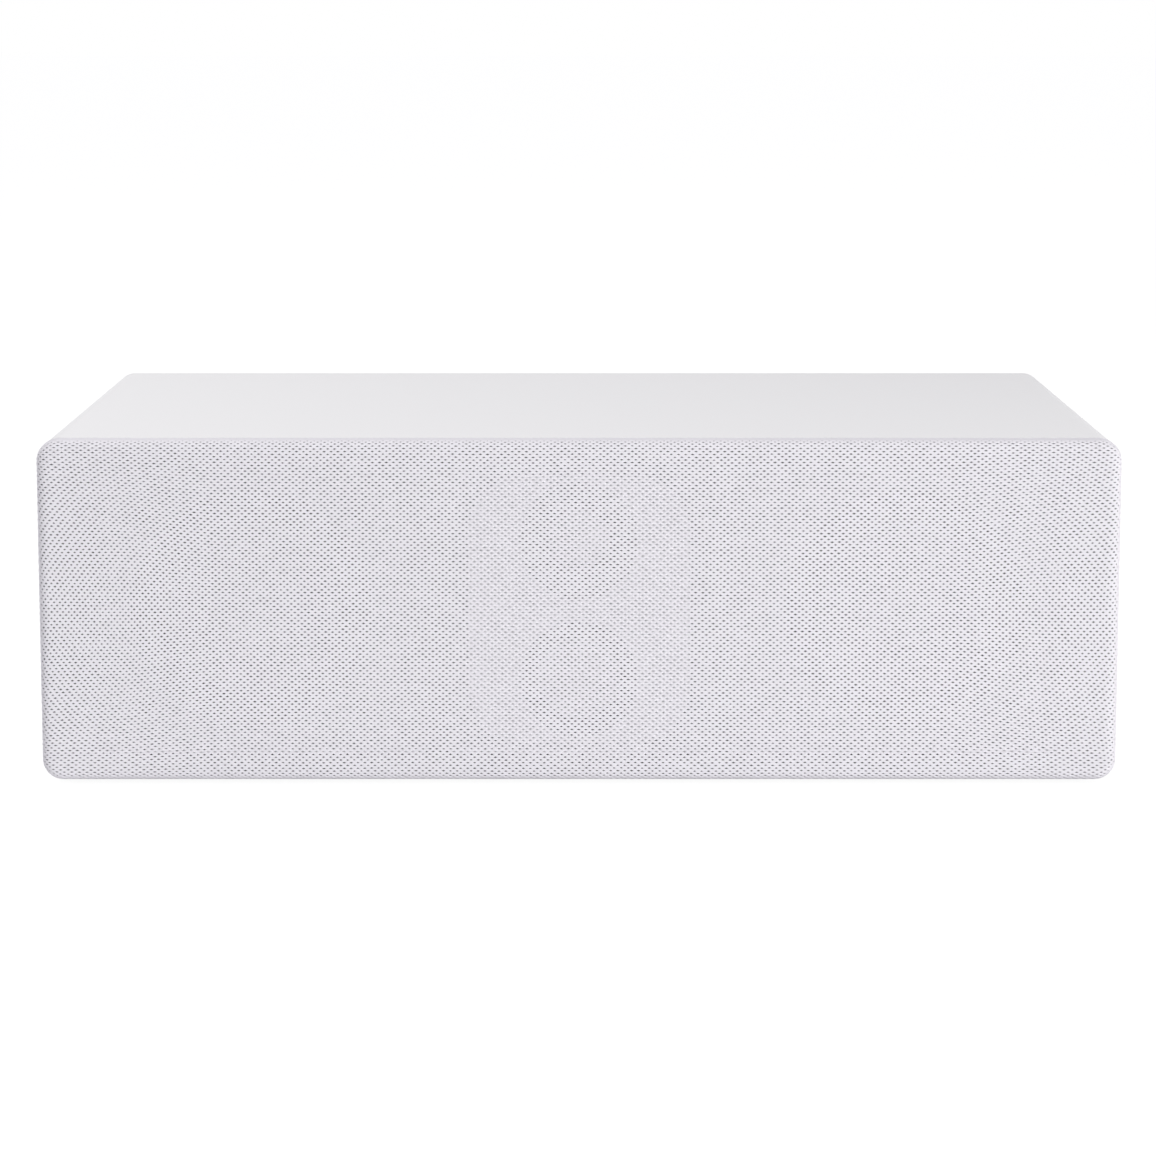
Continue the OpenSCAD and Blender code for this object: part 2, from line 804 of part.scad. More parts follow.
module midrange_surround() {
    color("#202020") translate([0, 0, -mid_seat])
        surround(mid_cone_radius, mid_roll, mid_lip - lip_gap, thin_skin);
}

module midrange_cone() {
    color("#6d7076") translate([0, 0, -mid_seat]) cone(mid_cone_radius, mid_coil, mid_cone_depth, thin_skin);
}

module midrange_dust_cap() {
    color("#5c5f65") translate([0, 0, mid_cap_seat]) dome(mid_cap, mid_cap / 3, thin_skin);
}

module midrange_coil_former() {
    color("peru") coil(mid_coil, -mid_seat - mid_cone_depth,
        -mid_basket_depth - mid_motor_plate - mid_seat, mid_winding_height);
}

module midrange_top_plate() {
    color("silver") translate([0, 0, -mid_basket_depth - mid_motor_plate])
        ring(mid_magnet_radius - magnet_step / 2, mid_coil + coil_winding + magnet_gap, mid_motor_plate);
}

module midrange_magnet() {
    color("#3a3a3a") translate([0, 0, -mid_basket_depth - mid_motor_plate - mid_magnet_height])
        ring(mid_magnet_radius, mid_coil + magnet_hole / 2, mid_magnet_height);
}

module midrange_yoke() {
    bottom = -mid_basket_depth - mid_motor_plate - mid_magnet_height;
    color("silver") {
        translate([0, 0, bottom - mid_motor_plate])
            cylinder(r = mid_magnet_radius - magnet_step / 2, h = mid_motor_plate);
        translate([0, 0, bottom - 1])
            cylinder(r = mid_coil - coil_wall - magnet_gap, h = -mid_basket_depth - bottom + 1);
    }
}

module midrange_chamber() {
    color("#2a2a2a") facing(0, baffle_back, midrange_z) translate([0, 0, -chamber_depth]) difference() {
        linear_extrude(chamber_depth) rounded(chamber_width, chamber_height, chamber_corner);
        translate([0, 0, chamber_wall]) linear_extrude(chamber_depth)
            rounded(chamber_width - 2 * chamber_wall, chamber_height - 2 * chamber_wall,
                chamber_corner - chamber_wall);
    }
}

// Rear side

module rear_panel() {
    color("#303030") facing(0, panel_outside, middle) difference() {
        linear_extrude(rear_thickness)
            rounded(seat_width - 2 * seat_gap, seat_height - 2 * seat_gap, seat_corner);
        for (side = [-1, 1]) translate([side * woofer_x, 0, -1])
            cylinder(r = port_collar + seat_gap, h = rear_thickness + 2);
        translate([0, 0, -1]) linear_extrude(rear_thickness + 2)
            rounded(tray_width + 2 * seat_gap, tray_height + 2 * seat_gap, tray_corner + seat_gap);
        translate([0, 0, -1]) panel_screw_places() cylinder(r = screw_shank, h = rear_thickness + 2);
    }
}

// A straight bore that opens in a quarter-round flare at the panel
module port() {
    difference() {
        union() {
            translate([0, 0, -port_rim]) cylinder(r = port_rim_radius, h = port_rim);
            cylinder(r = port_collar, h = rear_thickness + 2);
            cylinder(r = port_radius + port_wall, h = port_length);
        }
        rotate_extrude() difference() {
            translate([0, -port_rim - 1]) square([port_radius + port_flare, port_length + port_rim + 2]);
            translate([port_radius + port_flare, port_flare - port_rim]) circle(port_flare);
            translate([port_radius, port_flare - port_rim]) square([port_flare + 1, port_length + 10]);
        }
    }
}

module panel_screws() {
    color("#202020") facing(0, panel_outside, middle) panel_screw_places()
        mirror([0, 0, 1]) screw(rear_thickness + screw_bite - 1);
}

module at_tray() {
    facing(0, panel_outside, middle) children();
}

module connection_tray() {
    flange_width = tray_width + 2 * tray_edge;
    flange_height = tray_height + 2 * tray_edge;
    color("#1e1e1e") at_tray() difference() {
        union() {
            translate([0, 0, -tray_flange]) linear_extrude(tray_flange)
                rounded(flange_width, flange_height, tray_corner + tray_edge);
            linear_extrude(tray_depth) rounded(tray_width, tray_height, tray_corner);
        }
        translate([0, 0, -tray_flange - 1]) linear_extrude(tray_floor + tray_flange + 1)
            rounded(tray_width - 2 * tray_wall, tray_height - 2 * tray_wall, tray_corner - tray_wall);
        translate([inlet_x, 0, 0]) linear_extrude(tray_depth + 1)
            rounded(inlet_width, inlet_height, inlet_corner);
        translate([rocker_x, 0, 0]) linear_extrude(tray_depth + 1)
            square([housing_width, housing_height], center = true);
        translate([button_x, 0, 0]) cylinder(r = button_radius + control_gap, h = tray_depth + 1);
        translate([socket_x, 0, 0]) cylinder(r = socket_barrel, h = tray_depth + 1);
    }
}

module mains_inlet() {
    color("black") at_tray() translate([inlet_x, 0, 0]) difference() {
        union() {
            translate([0, 0, tray_floor - inlet_flange]) linear_extrude(inlet_flange)
                rounded(inlet_width + 2 * fitting_edge, inlet_height + 2 * fitting_edge, inlet_corner + 1);
            translate([0, 0, tray_floor - inlet_flange / 2]) linear_extrude(inlet_depth + inlet_base)
                rounded(inlet_width, inlet_height, inlet_corner);
        }
        translate([0, 0, tray_floor - fitting_edge]) linear_extrude(inlet_depth) {
            for (side = [-1, 1]) translate([side * inlet_pitch / 2, 0]) circle(inlet_hole);
            square([inlet_pitch, inlet_hole], center = true);
        }
    }
}

module inlet_pins() {
    color("gold") at_tray() for (side = [-1, 1])
        translate([inlet_x + side * inlet_pitch / 2, 0, tray_floor + fitting_edge])
            cylinder(r = inlet_pin, h = inlet_depth - 2 * fitting_edge);
}

module rocker_housing() {
    color("black") at_tray() translate([rocker_x, 0, 0]) difference() {
        union() {
            translate([0, 0, tray_floor - housing_flange]) linear_extrude(housing_flange)
                square([housing_width + fitting_edge, housing_height + fitting_edge], center = true);
            translate([0, 0, tray_floor - housing_flange / 2]) linear_extrude(housing_depth)
                square([housing_width, housing_height], center = true);
        }
        translate([0, 0, tray_floor - housing_flange - 1]) linear_extrude(housing_depth)
            square([rocker_width + 2 * control_gap, rocker_height + 2 * control_gap], center = true);
        translate([0, 0, rocker_pivot]) rotate([0, 90, 0])
            cylinder(r = pin_radius, h = rocker_width + 2 * pin_reach + 2 * seat_gap, center = true);
    }
}

// The rocker's face is a shallow valley, and at rest its upper half is pressed in
module power_rocker() {
    rise = rocker_half * tan(rocker_swing / 2);
    color("#101010") at_tray() translate([rocker_x, 0, rocker_pivot]) rotate([rocker_swing / 2, 0, 0]) {
        rotate([90, 0, 90]) linear_extrude(rocker_width, center = true)
            polygon([
                [-rocker_half, -rocker_face - rise], [0, -rocker_face], [rocker_half, -rocker_face - rise],
                [rocker_half - rocker_taper, 0], [rocker_foot.x, rocker_foot.y],
                [-rocker_foot.x, rocker_foot.y], [rocker_taper - rocker_half, 0]
            ]);
        rotate([0, 90, 0])
            cylinder(r = pin_radius - pin_gap, h = rocker_width + 2 * pin_reach, center = true);
    }
}

// A cap in the tray's floor, a collar behind it and a stem that reaches the switch on the board
module pairing_button() {
    collar_seat = tray_depth + control_gap;
    stem_end = board_seat - switch_height - button_travel - control_gap;
    color("#2a2a2a") at_tray() translate([button_x, 0, 0]) {
        translate([0, 0, tray_floor - button_proud])
            cylinder(r = button_radius, h = collar_seat - tray_floor + button_proud + 1);
        translate([0, 0, collar_seat]) cylinder(r = button_radius + button_collar, h = button_collar_height);
        translate([0, 0, collar_seat]) cylinder(r = button_stem, h = stem_end - collar_seat);
    }
}

module line_socket() {
    color("#0c0c0c") at_tray() translate([socket_x, 0, 0]) difference() {
        union() {
            translate([0, 0, tray_floor - socket_rim_height])
                cylinder(r = socket_barrel + socket_rim, h = socket_rim_height);
            translate([0, 0, tray_floor - socket_rim_height / 2])
                cylinder(r = socket_barrel, h = socket_length);
        }
        translate([0, 0, tray_floor - socket_rim_height - 1])
            cylinder(r = socket_bore, h = socket_rim_height + 1 + socket_reach);
    }
}

// Electronics on one board that faces into the cabinet

// The board on its four posts, with the push switch that the pairing button's stem presses
module amplifier_board() {
    color("darkgreen") at_tray() {
        translate([0, 0, board_seat]) linear_extrude(board_thickness)
            rounded(board_width, board_height, board_edge / 2);
        translate([0, 0, tray_depth]) corners(post_x, post_z)
            cylinder(r = post_radius, h = post_length + board_thickness / 2);
        translate([button_x, 0, board_seat - switch_height]) {
            cylinder(r = switch_knob, h = switch_height);
            translate([0, 0, switch_height / 4])
                linear_extrude(switch_height) square(switch_side, center = true);
        }
    }
}

module on_board(place) {
    at_tray() translate([place.x, place.y, board_front]) children();
}

module heat_sink() {
    fin_pitch = (sink_width - fin_thickness) / (fin_count - 1);
    color("lightgray") on_board(sink_place) {
        linear_extrude(sink_base) square([sink_width, sink_length], center = true);
        for (fin = [0:fin_count - 1])
            translate([(fin - (fin_count - 1) / 2) * fin_pitch, 0, 0])
                linear_extrude(fin_height) square([fin_thickness, sink_length], center = true);
    }
}

module capacitors() {
    color("navy") on_board(capacitor_place) for (number = [0:capacitor_count - 1])
        translate([capacitor_pitch * number, 0, 0]) cylinder(r = capacitor_radius, h = capacitor_height);
}

module transformer() {
    color("khaki") on_board(transformer_place) {
        linear_extrude(core_height) square([core_width, core_thickness], center = true);
        translate([0, 0, core_flange]) linear_extrude(core_height - 2 * core_flange)
            rounded(winding_width, winding_length, winding_corner);
    }
}

module wireless_module() {
    color("silver") on_board(module_place) {
        linear_extrude(module_board_thickness) square(module_board, center = true);
        translate([module_can_shift, 0, 0])
            linear_extrude(module_can_height) square(module_can, center = true);
    }
}

module rubber_feet() {
    color("#1a1a1a") for (side = [-1, 1], y = [cabinet_front + foot_inset, cabinet_back - foot_inset])
        translate([side * (cabinet_width / 2 - foot_inset), y, 0]) rotate_extrude() difference() {
            square([foot_radius, foot_height]);
            translate([foot_radius, 0]) rotate(45) square(foot_groove, center = true);
        }
}

// Puts one woofer piece on the left or the right axis
module woofer_place(side) {
    facing(side * woofer_x, woofer_y, driver_height) children();
}

module tweeter_place() {
    facing(0, baffle_front, tweeter_z) children();
}

module midrange_place() {
    facing(0, baffle_front, midrange_z) children();
}

cabinet();
front_baffle();
divider(-1);  // left_divider
divider(1);  // right_divider
grille_frame();
grille_cloth();
grille_cups();
rubber_feet();
centre_plate();
woofer_place(-1) woofer_basket();  // left_woofer_basket
woofer_place(-1) woofer_gasket();  // left_woofer_gasket
woofer_place(-1) woofer_surround();  // left_woofer_surround
woofer_place(-1) woofer_cone();  // left_woofer_cone
woofer_place(-1) woofer_dust_cap();  // left_woofer_cap
woofer_place(-1) woofer_spider();  // left_woofer_spider
woofer_place(-1) woofer_coil_former();  // left_woofer_coil
woofer_place(-1) woofer_top_plate();  // left_woofer_top_plate
woofer_place(-1) woofer_magnet();  // left_woofer_magnet
woofer_place(-1) woofer_yoke();  // left_woofer_yoke
woofer_place(1) woofer_basket();  // right_woofer_basket
woofer_place(1) woofer_gasket();  // right_woofer_gasket
woofer_place(1) woofer_surround();  // right_woofer_surround
woofer_place(1) woofer_cone();  // right_woofer_cone
woofer_place(1) woofer_dust_cap();  // right_woofer_cap
woofer_place(1) woofer_spider();  // right_woofer_spider
woofer_place(1) woofer_coil_former();  // right_woofer_coil
woofer_place(1) woofer_top_plate();  // right_woofer_top_plate
woofer_place(1) woofer_magnet();  // right_woofer_magnet
woofer_place(1) woofer_yoke();  // right_woofer_yoke
tweeter_place() tweeter_waveguide();
tweeter_place() tweeter_dome();
tweeter_place() tweeter_surround();
tweeter_place() tweeter_coil();
tweeter_place() tweeter_cup();
midrange_place() midrange_basket();
midrange_place() midrange_surround();
midrange_place() midrange_cone();
midrange_place() midrange_dust_cap();  // midrange_cap
midrange_place() midrange_coil_former();  // midrange_coil
midrange_place() midrange_top_plate();
midrange_place() midrange_magnet();
midrange_place() midrange_yoke();
midrange_chamber();
woofer_screws();
rear_panel();
panel_screws();
facing(-woofer_x, panel_outside, middle) port();  // left_port
facing(woofer_x, panel_outside, middle) port();  // right_port
connection_tray();
mains_inlet();
inlet_pins();
rocker_housing();
power_rocker();
pairing_button();
line_socket();
amplifier_board();
heat_sink();
capacitors();
transformer();
wireless_module();
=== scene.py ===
"""Dresses the tabletop loudspeaker: lacquered cabinet, knitted grille cloth, drivers and rear fittings."""

import json
import math

import bmesh
import bpy
import numpy as np
from bpy.props import FloatProperty, FloatVectorProperty, IntProperty, PointerProperty
from mathutils import Matrix, Vector
from mathutils.bvhtree import BVHTree


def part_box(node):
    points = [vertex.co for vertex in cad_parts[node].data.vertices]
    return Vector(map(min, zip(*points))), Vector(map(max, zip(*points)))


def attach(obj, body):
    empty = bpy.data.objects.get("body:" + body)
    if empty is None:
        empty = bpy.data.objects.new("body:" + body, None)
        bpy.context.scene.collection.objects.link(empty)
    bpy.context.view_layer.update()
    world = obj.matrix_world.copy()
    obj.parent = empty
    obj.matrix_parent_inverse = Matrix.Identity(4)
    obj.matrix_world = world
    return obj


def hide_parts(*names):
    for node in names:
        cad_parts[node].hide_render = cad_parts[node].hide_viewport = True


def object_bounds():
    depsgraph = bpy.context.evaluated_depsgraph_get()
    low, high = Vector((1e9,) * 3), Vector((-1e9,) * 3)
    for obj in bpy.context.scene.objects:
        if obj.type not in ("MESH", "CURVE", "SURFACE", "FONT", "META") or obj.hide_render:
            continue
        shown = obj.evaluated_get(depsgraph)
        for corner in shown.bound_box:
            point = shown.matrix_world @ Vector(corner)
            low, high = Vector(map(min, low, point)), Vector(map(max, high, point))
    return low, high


bl_info = {
    "name": "Cloth front loudspeaker",
    "version": (1, 0, 0),
    "blender": (4, 5, 0),
    "location": "3D View > Sidebar > Loudspeaker",
    "description": "Models and finishes a tabletop loudspeaker around its packed construction",
    "category": "Object",
}

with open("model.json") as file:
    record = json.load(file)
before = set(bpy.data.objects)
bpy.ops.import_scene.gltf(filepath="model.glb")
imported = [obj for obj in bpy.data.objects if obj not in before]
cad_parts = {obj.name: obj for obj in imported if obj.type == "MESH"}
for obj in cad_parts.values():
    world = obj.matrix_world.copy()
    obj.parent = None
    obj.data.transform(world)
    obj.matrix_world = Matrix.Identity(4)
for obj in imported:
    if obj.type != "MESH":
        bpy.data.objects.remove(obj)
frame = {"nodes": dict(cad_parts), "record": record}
CAD_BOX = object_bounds()
SLOT_OF = {part["node"]: part["material_slot"] for part in frame["record"]["subparts"]}
MM = 0.001
WAVE_RADIANS = 20  # how far the wave texture turns in one unit of length at scale 1


# Settings that a user would change

class ShotSettings(bpy.types.PropertyGroup):
    """Where the camera stands"""

    aside: FloatProperty(name="Aside", description="Camera's place across the front", default=-0.0004,
                         unit="LENGTH", precision=4)
    back: FloatProperty(name="Back", description="Camera's distance in front of the middle", default=1.3317,
                        unit="LENGTH", precision=4)
    height: FloatProperty(name="Height", description="Camera's height above the table", default=0.3069,
                          unit="LENGTH", precision=4)
    pitch: FloatProperty(name="Pitch", description="How far the camera looks down",
                         default=math.radians(7.318), unit="ROTATION")
    lens: FloatProperty(name="Lens", description="Focal length on a 36 mm sensor, in millimetres", default=99.39)
    shift: FloatProperty(name="Shift", description="Rise of the lens as a share of the picture", default=-0.15)


class StudioSettings(bpy.types.PropertyGroup):
    """Light and floor"""

    ambient: FloatProperty(name="Ambient", description="Strength of the even light from all round", default=0.42)
    ambient_tint: FloatVectorProperty(name="Ambient tint", description="Colour of the even light", subtype="COLOR",
                                      default=(0.955, 0.945, 1.0))
    lamp_tint: FloatVectorProperty(name="Lamp tint", description="Colour of the soft lamps", subtype="COLOR",
                                   default=(1.0, 0.988, 0.968))
    key: FloatProperty(name="Key", description="Power of the soft lamp on the right, in watts", default=78.0)
    key_place: FloatVectorProperty(name="Key place", description="Where the soft lamp on the right stands",
                                   subtype="TRANSLATION", unit="LENGTH", default=(2.2, -2.7, 0.6))
    key_size: FloatProperty(name="Key size", description="Side of the soft lamp on the right", default=1.4,
                            unit="LENGTH")
    top: FloatProperty(name="Top", description="Power of the soft lamp overhead, in watts", default=16.0)
    top_place: FloatVectorProperty(name="Top place", description="Where the soft lamp overhead hangs",
                                   subtype="TRANSLATION", unit="LENGTH", default=(-0.9, 0.1, 1.7))
    top_size: FloatProperty(name="Top size", description="Side of the soft lamp overhead", default=1.0,
                            unit="LENGTH")
    floor_size: FloatProperty(name="Floor size", description="Side of the floor", default=30.0, unit="LENGTH")
    floor_grey: FloatProperty(name="Floor grey", description="Lightness of the floor under the lamps", default=0.96,
                              subtype="FACTOR")
    floor_white: FloatProperty(name="Floor white", description="How much of the floor is plain white for the camera",
                               default=0.8, subtype="FACTOR")
    floor_glow: FloatProperty(name="Floor glow", description="Strength of the floor's plain white", default=1.15)


class CabinetSettings(bpy.types.PropertyGroup):
    """The lacquered box"""

    edge_radius: FloatProperty(name="Edge radius", description="Radius of the four long edges", default=0.008,
                               unit="LENGTH", precision=4)
    edge_steps: IntProperty(name="Edge steps", description="Flats in one long edge's rounding", default=14)
    wall: FloatProperty(name="Wall", description="Thickness of the walls", default=0.014, unit="LENGTH", precision=4)
    rebate: FloatProperty(name="Rebate", description="Step that the panels sit in", default=0.004, unit="LENGTH",
                          precision=4)
    rim_round: FloatProperty(name="Rim rounding", description="Rounding of the front and rear rims", default=0.0009,
                             unit="LENGTH", precision=5)
    block: FloatProperty(name="Block", description="Side of the rear corner blocks", default=0.016, unit="LENGTH",
                         precision=4)
    block_round: FloatProperty(name="Block rounding", description="Bevel of the rear corner blocks", default=0.0005,
                               unit="LENGTH", precision=5)
    colour: FloatVectorProperty(name="Lacquer", description="Colour of the lacquer", subtype="COLOR",
                                default=(0.80, 0.80, 0.812))


class KnitSettings(bpy.types.PropertyGroup):
    """The grille's knitted cloth"""

    pitch: FloatProperty(name="Hole pitch", description="Distance of two holes in a row", default=0.00273,
                         unit="LENGTH", precision=5)
    row: FloatProperty(name="Row pitch", description="Distance of two rows of holes", default=0.001107,
                       unit="LENGTH", precision=6)
    hole_width: FloatProperty(name="Hole width", description="Share of the pitch that is open", default=0.47,
                              subtype="FACTOR")
    hole_height: FloatProperty(name="Hole height", description="Share of two rows that is open", default=0.265,
                               subtype="FACTOR")
    knot_rise: FloatProperty(name="Knot rise", description="How far the yarn's knots stand out", default=0.00018,
                             unit="LENGTH", precision=5)
    rim_drop: FloatProperty(name="Rim drop", description="How far a hole's rim lies back", default=0.00024,
                            unit="LENGTH", precision=5)
    turn: FloatProperty(name="Turn", description="Radius at which the cloth turns over the frame", default=0.004,
                        unit="LENGTH", precision=4)
    pull: FloatProperty(name="Pull", description="How far the rows bow towards the corners", default=0.003,
                        unit="LENGTH", precision=4)
    pull_start: FloatProperty(name="Pull start", description="Distance from the ends where the rows start to bow",
                              default=0.073, unit="LENGTH", precision=4)
    pull_full: FloatProperty(name="Pull full", description="Distance from the ends where the rows bow fully",
                             default=0.023, unit="LENGTH", precision=4)
    widening: FloatProperty(name="Widening", description="Share that the cells grow in a metre to the right",
                            default=0.115)
    wander: FloatProperty(name="Wander", description="How far the rows stray in slow waves", default=0.00012,
                          unit="LENGTH", precision=5)
    looseness: FloatProperty(name="Looseness", description="Share by which the holes differ in size", default=0.12,
                             subtype="FACTOR")
    stray_across: FloatProperty(name="Stray across", description="How far a hole strays, as a share of the pitch",
                                default=0.035, subtype="FACTOR")
    stray_up: FloatProperty(name="Stray up", description="How far a hole strays, as a share of the row pitch",
                            default=0.06, subtype="FACTOR")
    colour: FloatVectorProperty(name="Yarn", description="Colour of the yarn", subtype="COLOR",
                                default=(0.89, 0.866, 0.945))
    translucency: FloatProperty(name="Translucency", description="Share of the light that passes the yarn",
                                default=0.38, subtype="FACTOR")


class FittingSettings(bpy.types.PropertyGroup):
    """Small fittings"""

    screw_head: FloatProperty(name="Screw head", description="Radius of a screw's head", default=0.0034,
                              unit="LENGTH", precision=4)
    screw_rise: FloatProperty(name="Screw rise", description="Height of a screw's head", default=0.0018,
                              unit="LENGTH", precision=4)
    screw_stem: FloatProperty(name="Screw stem", description="Radius of a screw's stem", default=0.0013,
                              unit="LENGTH", precision=4)
    screw_turn: FloatProperty(name="Screw turn", description="Turn of each screw's cross against the one before",
                              default=math.radians(37), unit="ROTATION")
    mark_size: FloatProperty(name="Mark size", description="Height of the marks on the rocker", default=0.0032,
                             unit="LENGTH", precision=4)
    mark_place: FloatProperty(name="Mark place", description="Distance of the marks from the rocker's middle",
                              default=0.0052, unit="LENGTH", precision=4)
    mark_lift: FloatProperty(name="Mark lift", description="How far the marks stand off the rocker",
                             default=0.00002, unit="LENGTH", precision=6)


class LoudspeakerSettings(bpy.types.PropertyGroup):
    """All settings of the loudspeaker"""

    shot: PointerProperty(type=ShotSettings)
    studio: PointerProperty(type=StudioSettings)
    cabinet: PointerProperty(type=CabinetSettings)
    knit: PointerProperty(type=KnitSettings)
    fittings: PointerProperty(type=FittingSettings)


# Finishes

class Finish:
    """One procedural material around a Principled shader, its patterns measured in millimetres"""

    def __init__(self, name, colour, roughness, metallic=0.0):
        self.material = bpy.data.materials.new(name)
        self.material.use_nodes = True
        self.nodes = self.material.node_tree.nodes
        self.links = self.material.node_tree.links
        self.shader = self.nodes["Principled BSDF"]
        self.colour = colour
        self.shader.inputs["Base Color"].default_value = (*colour, 1)
        self.shader.inputs["Roughness"].default_value = roughness
        self.shader.inputs["Metallic"].default_value = metallic
        self.place = self.add("ShaderNodeTexCoord").outputs["Object"]
        self.height = None

    def add(self, kind, **values):
        node = self.nodes.new(kind)
        for key, value in values.items():
            if isinstance(value, bpy.types.NodeSocket):
                self.links.new(value, node.inputs[key])
            elif key in node.inputs:
                node.inputs[key].default_value = value
            else:
                setattr(node, key, value)
        return node

    def combined(self, operation, first, second):
        node = self.add("ShaderNodeMath", operation=operation)
        self.links.new(first, node.inputs[0])
        self.links.new(second, node.inputs[1])
        return node.outputs[0]

    def stretched(self, x, y, z):
        mapping = self.add("ShaderNodeMapping", Vector=self.place)
        mapping.inputs["Scale"].default_value = (x, y, z)
        return mapping.outputs["Vector"]

    def noise(self, size, detail, place=None):
        node = self.add("ShaderNodeTexNoise", Vector=place or self.place, Scale=1000 / size, Detail=detail)
        return node.outputs["Fac"]

    def bands(self, width, axis):
        """Stripes along an axis that turn through one radian in so many millimetres"""
        node = self.add("ShaderNodeTexWave", Vector=self.place, wave_type="BANDS", bands_direction=axis,
                        Scale=1000 / width / WAVE_RADIANS)
        return node.outputs["Fac"]

    def cells(self, size):
        node = self.add("ShaderNodeTexVoronoi", Vector=self.place, Scale=1000 / size)
        return node.outputs["Distance"]

    def ranged(self, factor, low, high):
        """Spreads the middle of a pattern over low to high"""
        ramp = self.add("ShaderNodeMapRange")
        self.links.new(factor, ramp.inputs["Value"])
        ramp.inputs["From Min"].default_value = 0.3
        ramp.inputs["From Max"].default_value = 0.7
        ramp.inputs["To Min"].default_value = low
        ramp.inputs["To Max"].default_value = high
        return ramp.outputs[0]

    def shade(self, factor, low, high):
        """Varies the colour between low and high times itself, driven by factor"""
        mix = self.add("ShaderNodeMix", data_type="RGBA")
        self.links.new(self.ranged(factor, 0, 1), mix.inputs["Factor"])
        mix.inputs[6].default_value = (*(c * low for c in self.colour), 1)
        mix.inputs[7].default_value = (*(min(c * high, 1) for c in self.colour), 1)
        self.links.new(mix.outputs[2], self.shader.inputs["Base Color"])
        return self

    def gloss(self, factor, low, high):
        """Varies the roughness between low and high, driven by factor"""
        self.links.new(self.ranged(factor, low, high), self.shader.inputs["Roughness"])
        return self

    def relief(self, height, depth, strength=1.0):
        """Adds a bump of so many millimetres on top of what is there"""
        bump = self.add("ShaderNodeBump", Height=height, Distance=depth * MM, Strength=strength)
        if self.height:
            self.links.new(self.height, bump.inputs["Normal"])
        self.height = bump.outputs["Normal"]
        self.links.new(self.height, self.shader.inputs["Normal"])
        return self

    def translucent(self, share):
        """Lets a share of the light through to the other side"""
        through = self.add("ShaderNodeBsdfTranslucent", Color=(*self.colour, 1))
        mix = self.add("ShaderNodeMixShader", Fac=share)
        self.links.new(self.shader.outputs[0], mix.inputs[1])
        self.links.new(through.outputs[0], mix.inputs[2])
        self.links.new(mix.outputs[0], self.nodes["Material Output"].inputs["Surface"])
        return self


def cabinet_lacquer():
    colour = settings().cabinet.colour
    lacquer = Finish("cabinet_lacquer", tuple(colour), 0.42)
    lacquer.shade(lacquer.noise(60, 3), 0.985, 1.01)
    lacquer.gloss(lacquer.noise(9, 4), 0.38, 0.46)
    lacquer.relief(lacquer.noise(1.6, 3), 0.012, 0.6)
    lacquer.relief(lacquer.noise(0.35, 2), 0.004, 0.5)
    return lacquer


def grille_knit():
    yarn = Finish("grille_knit", tuple(settings().knit.colour), 0.75)
    fibres = yarn.noise(0.16, 3, yarn.stretched(1, 1, 2.2))
    # Yarn-scale speckles of lighter and darker tone: partly the yarn's own uneven tone, partly painted highlights
    # that stand in for light catching the knots
    yarn.shade(yarn.noise(0.6, 4), 0.89, 1.08)
    yarn.relief(fibres, 0.05, 0.8)
    yarn.shader.inputs["Sheen Weight"].default_value = 0.25
    yarn.shader.inputs["Sheen Roughness"].default_value = 0.5
    yarn.translucent(settings().knit.translucency)
    return yarn


def fibreboard():
    board = Finish("fibreboard", (0.50, 0.36, 0.23), 0.85)
    board.shade(board.noise(1.4, 6), 0.75, 1.2)
    board.relief(board.noise(0.7, 6), 0.08)
    return board


def baffle_paint():
    paint = Finish("baffle_paint", (0.075, 0.078, 0.088), 0.62)
    paint.shade(paint.noise(20, 3), 0.9, 1.12)
    paint.relief(paint.noise(0.9, 4), 0.04, 0.7)
    return paint


def grille_plastic():
    plastic = Finish("grille_plastic", (0.055, 0.055, 0.06), 0.6)
    plastic.shade(plastic.noise(15, 3), 0.9, 1.15)
    plastic.relief(plastic.noise(0.4, 3), 0.02, 0.7)
    return plastic


def foot_rubber():
    rubber = Finish("foot_rubber", (0.03, 0.03, 0.031), 0.85)
    rubber.shade(rubber.noise(3, 4), 0.8, 1.35)
    rubber.relief(rubber.noise(0.5, 4), 0.03, 0.8)
    return rubber


def silver_plate():
    plate = Finish("silver_plate", (0.93, 0.93, 0.935), 0.5, 0.25)
    plate.shade(plate.noise(30, 3), 0.97, 1.02)
    plate.gloss(plate.noise(4, 4), 0.48, 0.62)
    plate.relief(plate.noise(0.25, 2), 0.006, 0.6)
    return plate


def cast_basket():
    cast = Finish("cast_basket", (0.17, 0.18, 0.20), 0.5, 0.7)
    cast.shade(cast.noise(5, 4), 0.85, 1.15)
    cast.relief(cast.noise(0.7, 5), 0.05, 0.7)
    return cast


def foam():
    foam_strip = Finish("foam", (0.03, 0.03, 0.03), 0.95)
    foam_strip.shade(foam_strip.cells(0.6), 0.7, 1.4)
    foam_strip.relief(foam_strip.cells(0.6), 0.15)
    return foam_strip


def roll_rubber():
    rubber = Finish("roll_rubber", (0.035, 0.035, 0.038), 0.5)
    rubber.gloss(rubber.noise(6, 3), 0.42, 0.6)
    rubber.relief(rubber.noise(0.8, 3), 0.01, 0.7)
    return rubber


def pressed_paper(name, colour):
    """Cone paper: long felted fibres and faint pressed rings round the driver's axis"""
    paper = Finish(name, colour, 0.72)
    paper.shade(paper.noise(1.1, 6, paper.stretched(1, 1, 2.5)), 0.8, 1.2)
    paper.relief(paper.noise(0.5, 5, paper.stretched(1, 1, 3)), 0.05, 0.8)
    return paper


def cone_paper():
    return pressed_paper("cone_paper", (0.07, 0.075, 0.08))


def mid_cone():
    return pressed_paper("mid_cone", (0.30, 0.31, 0.33))


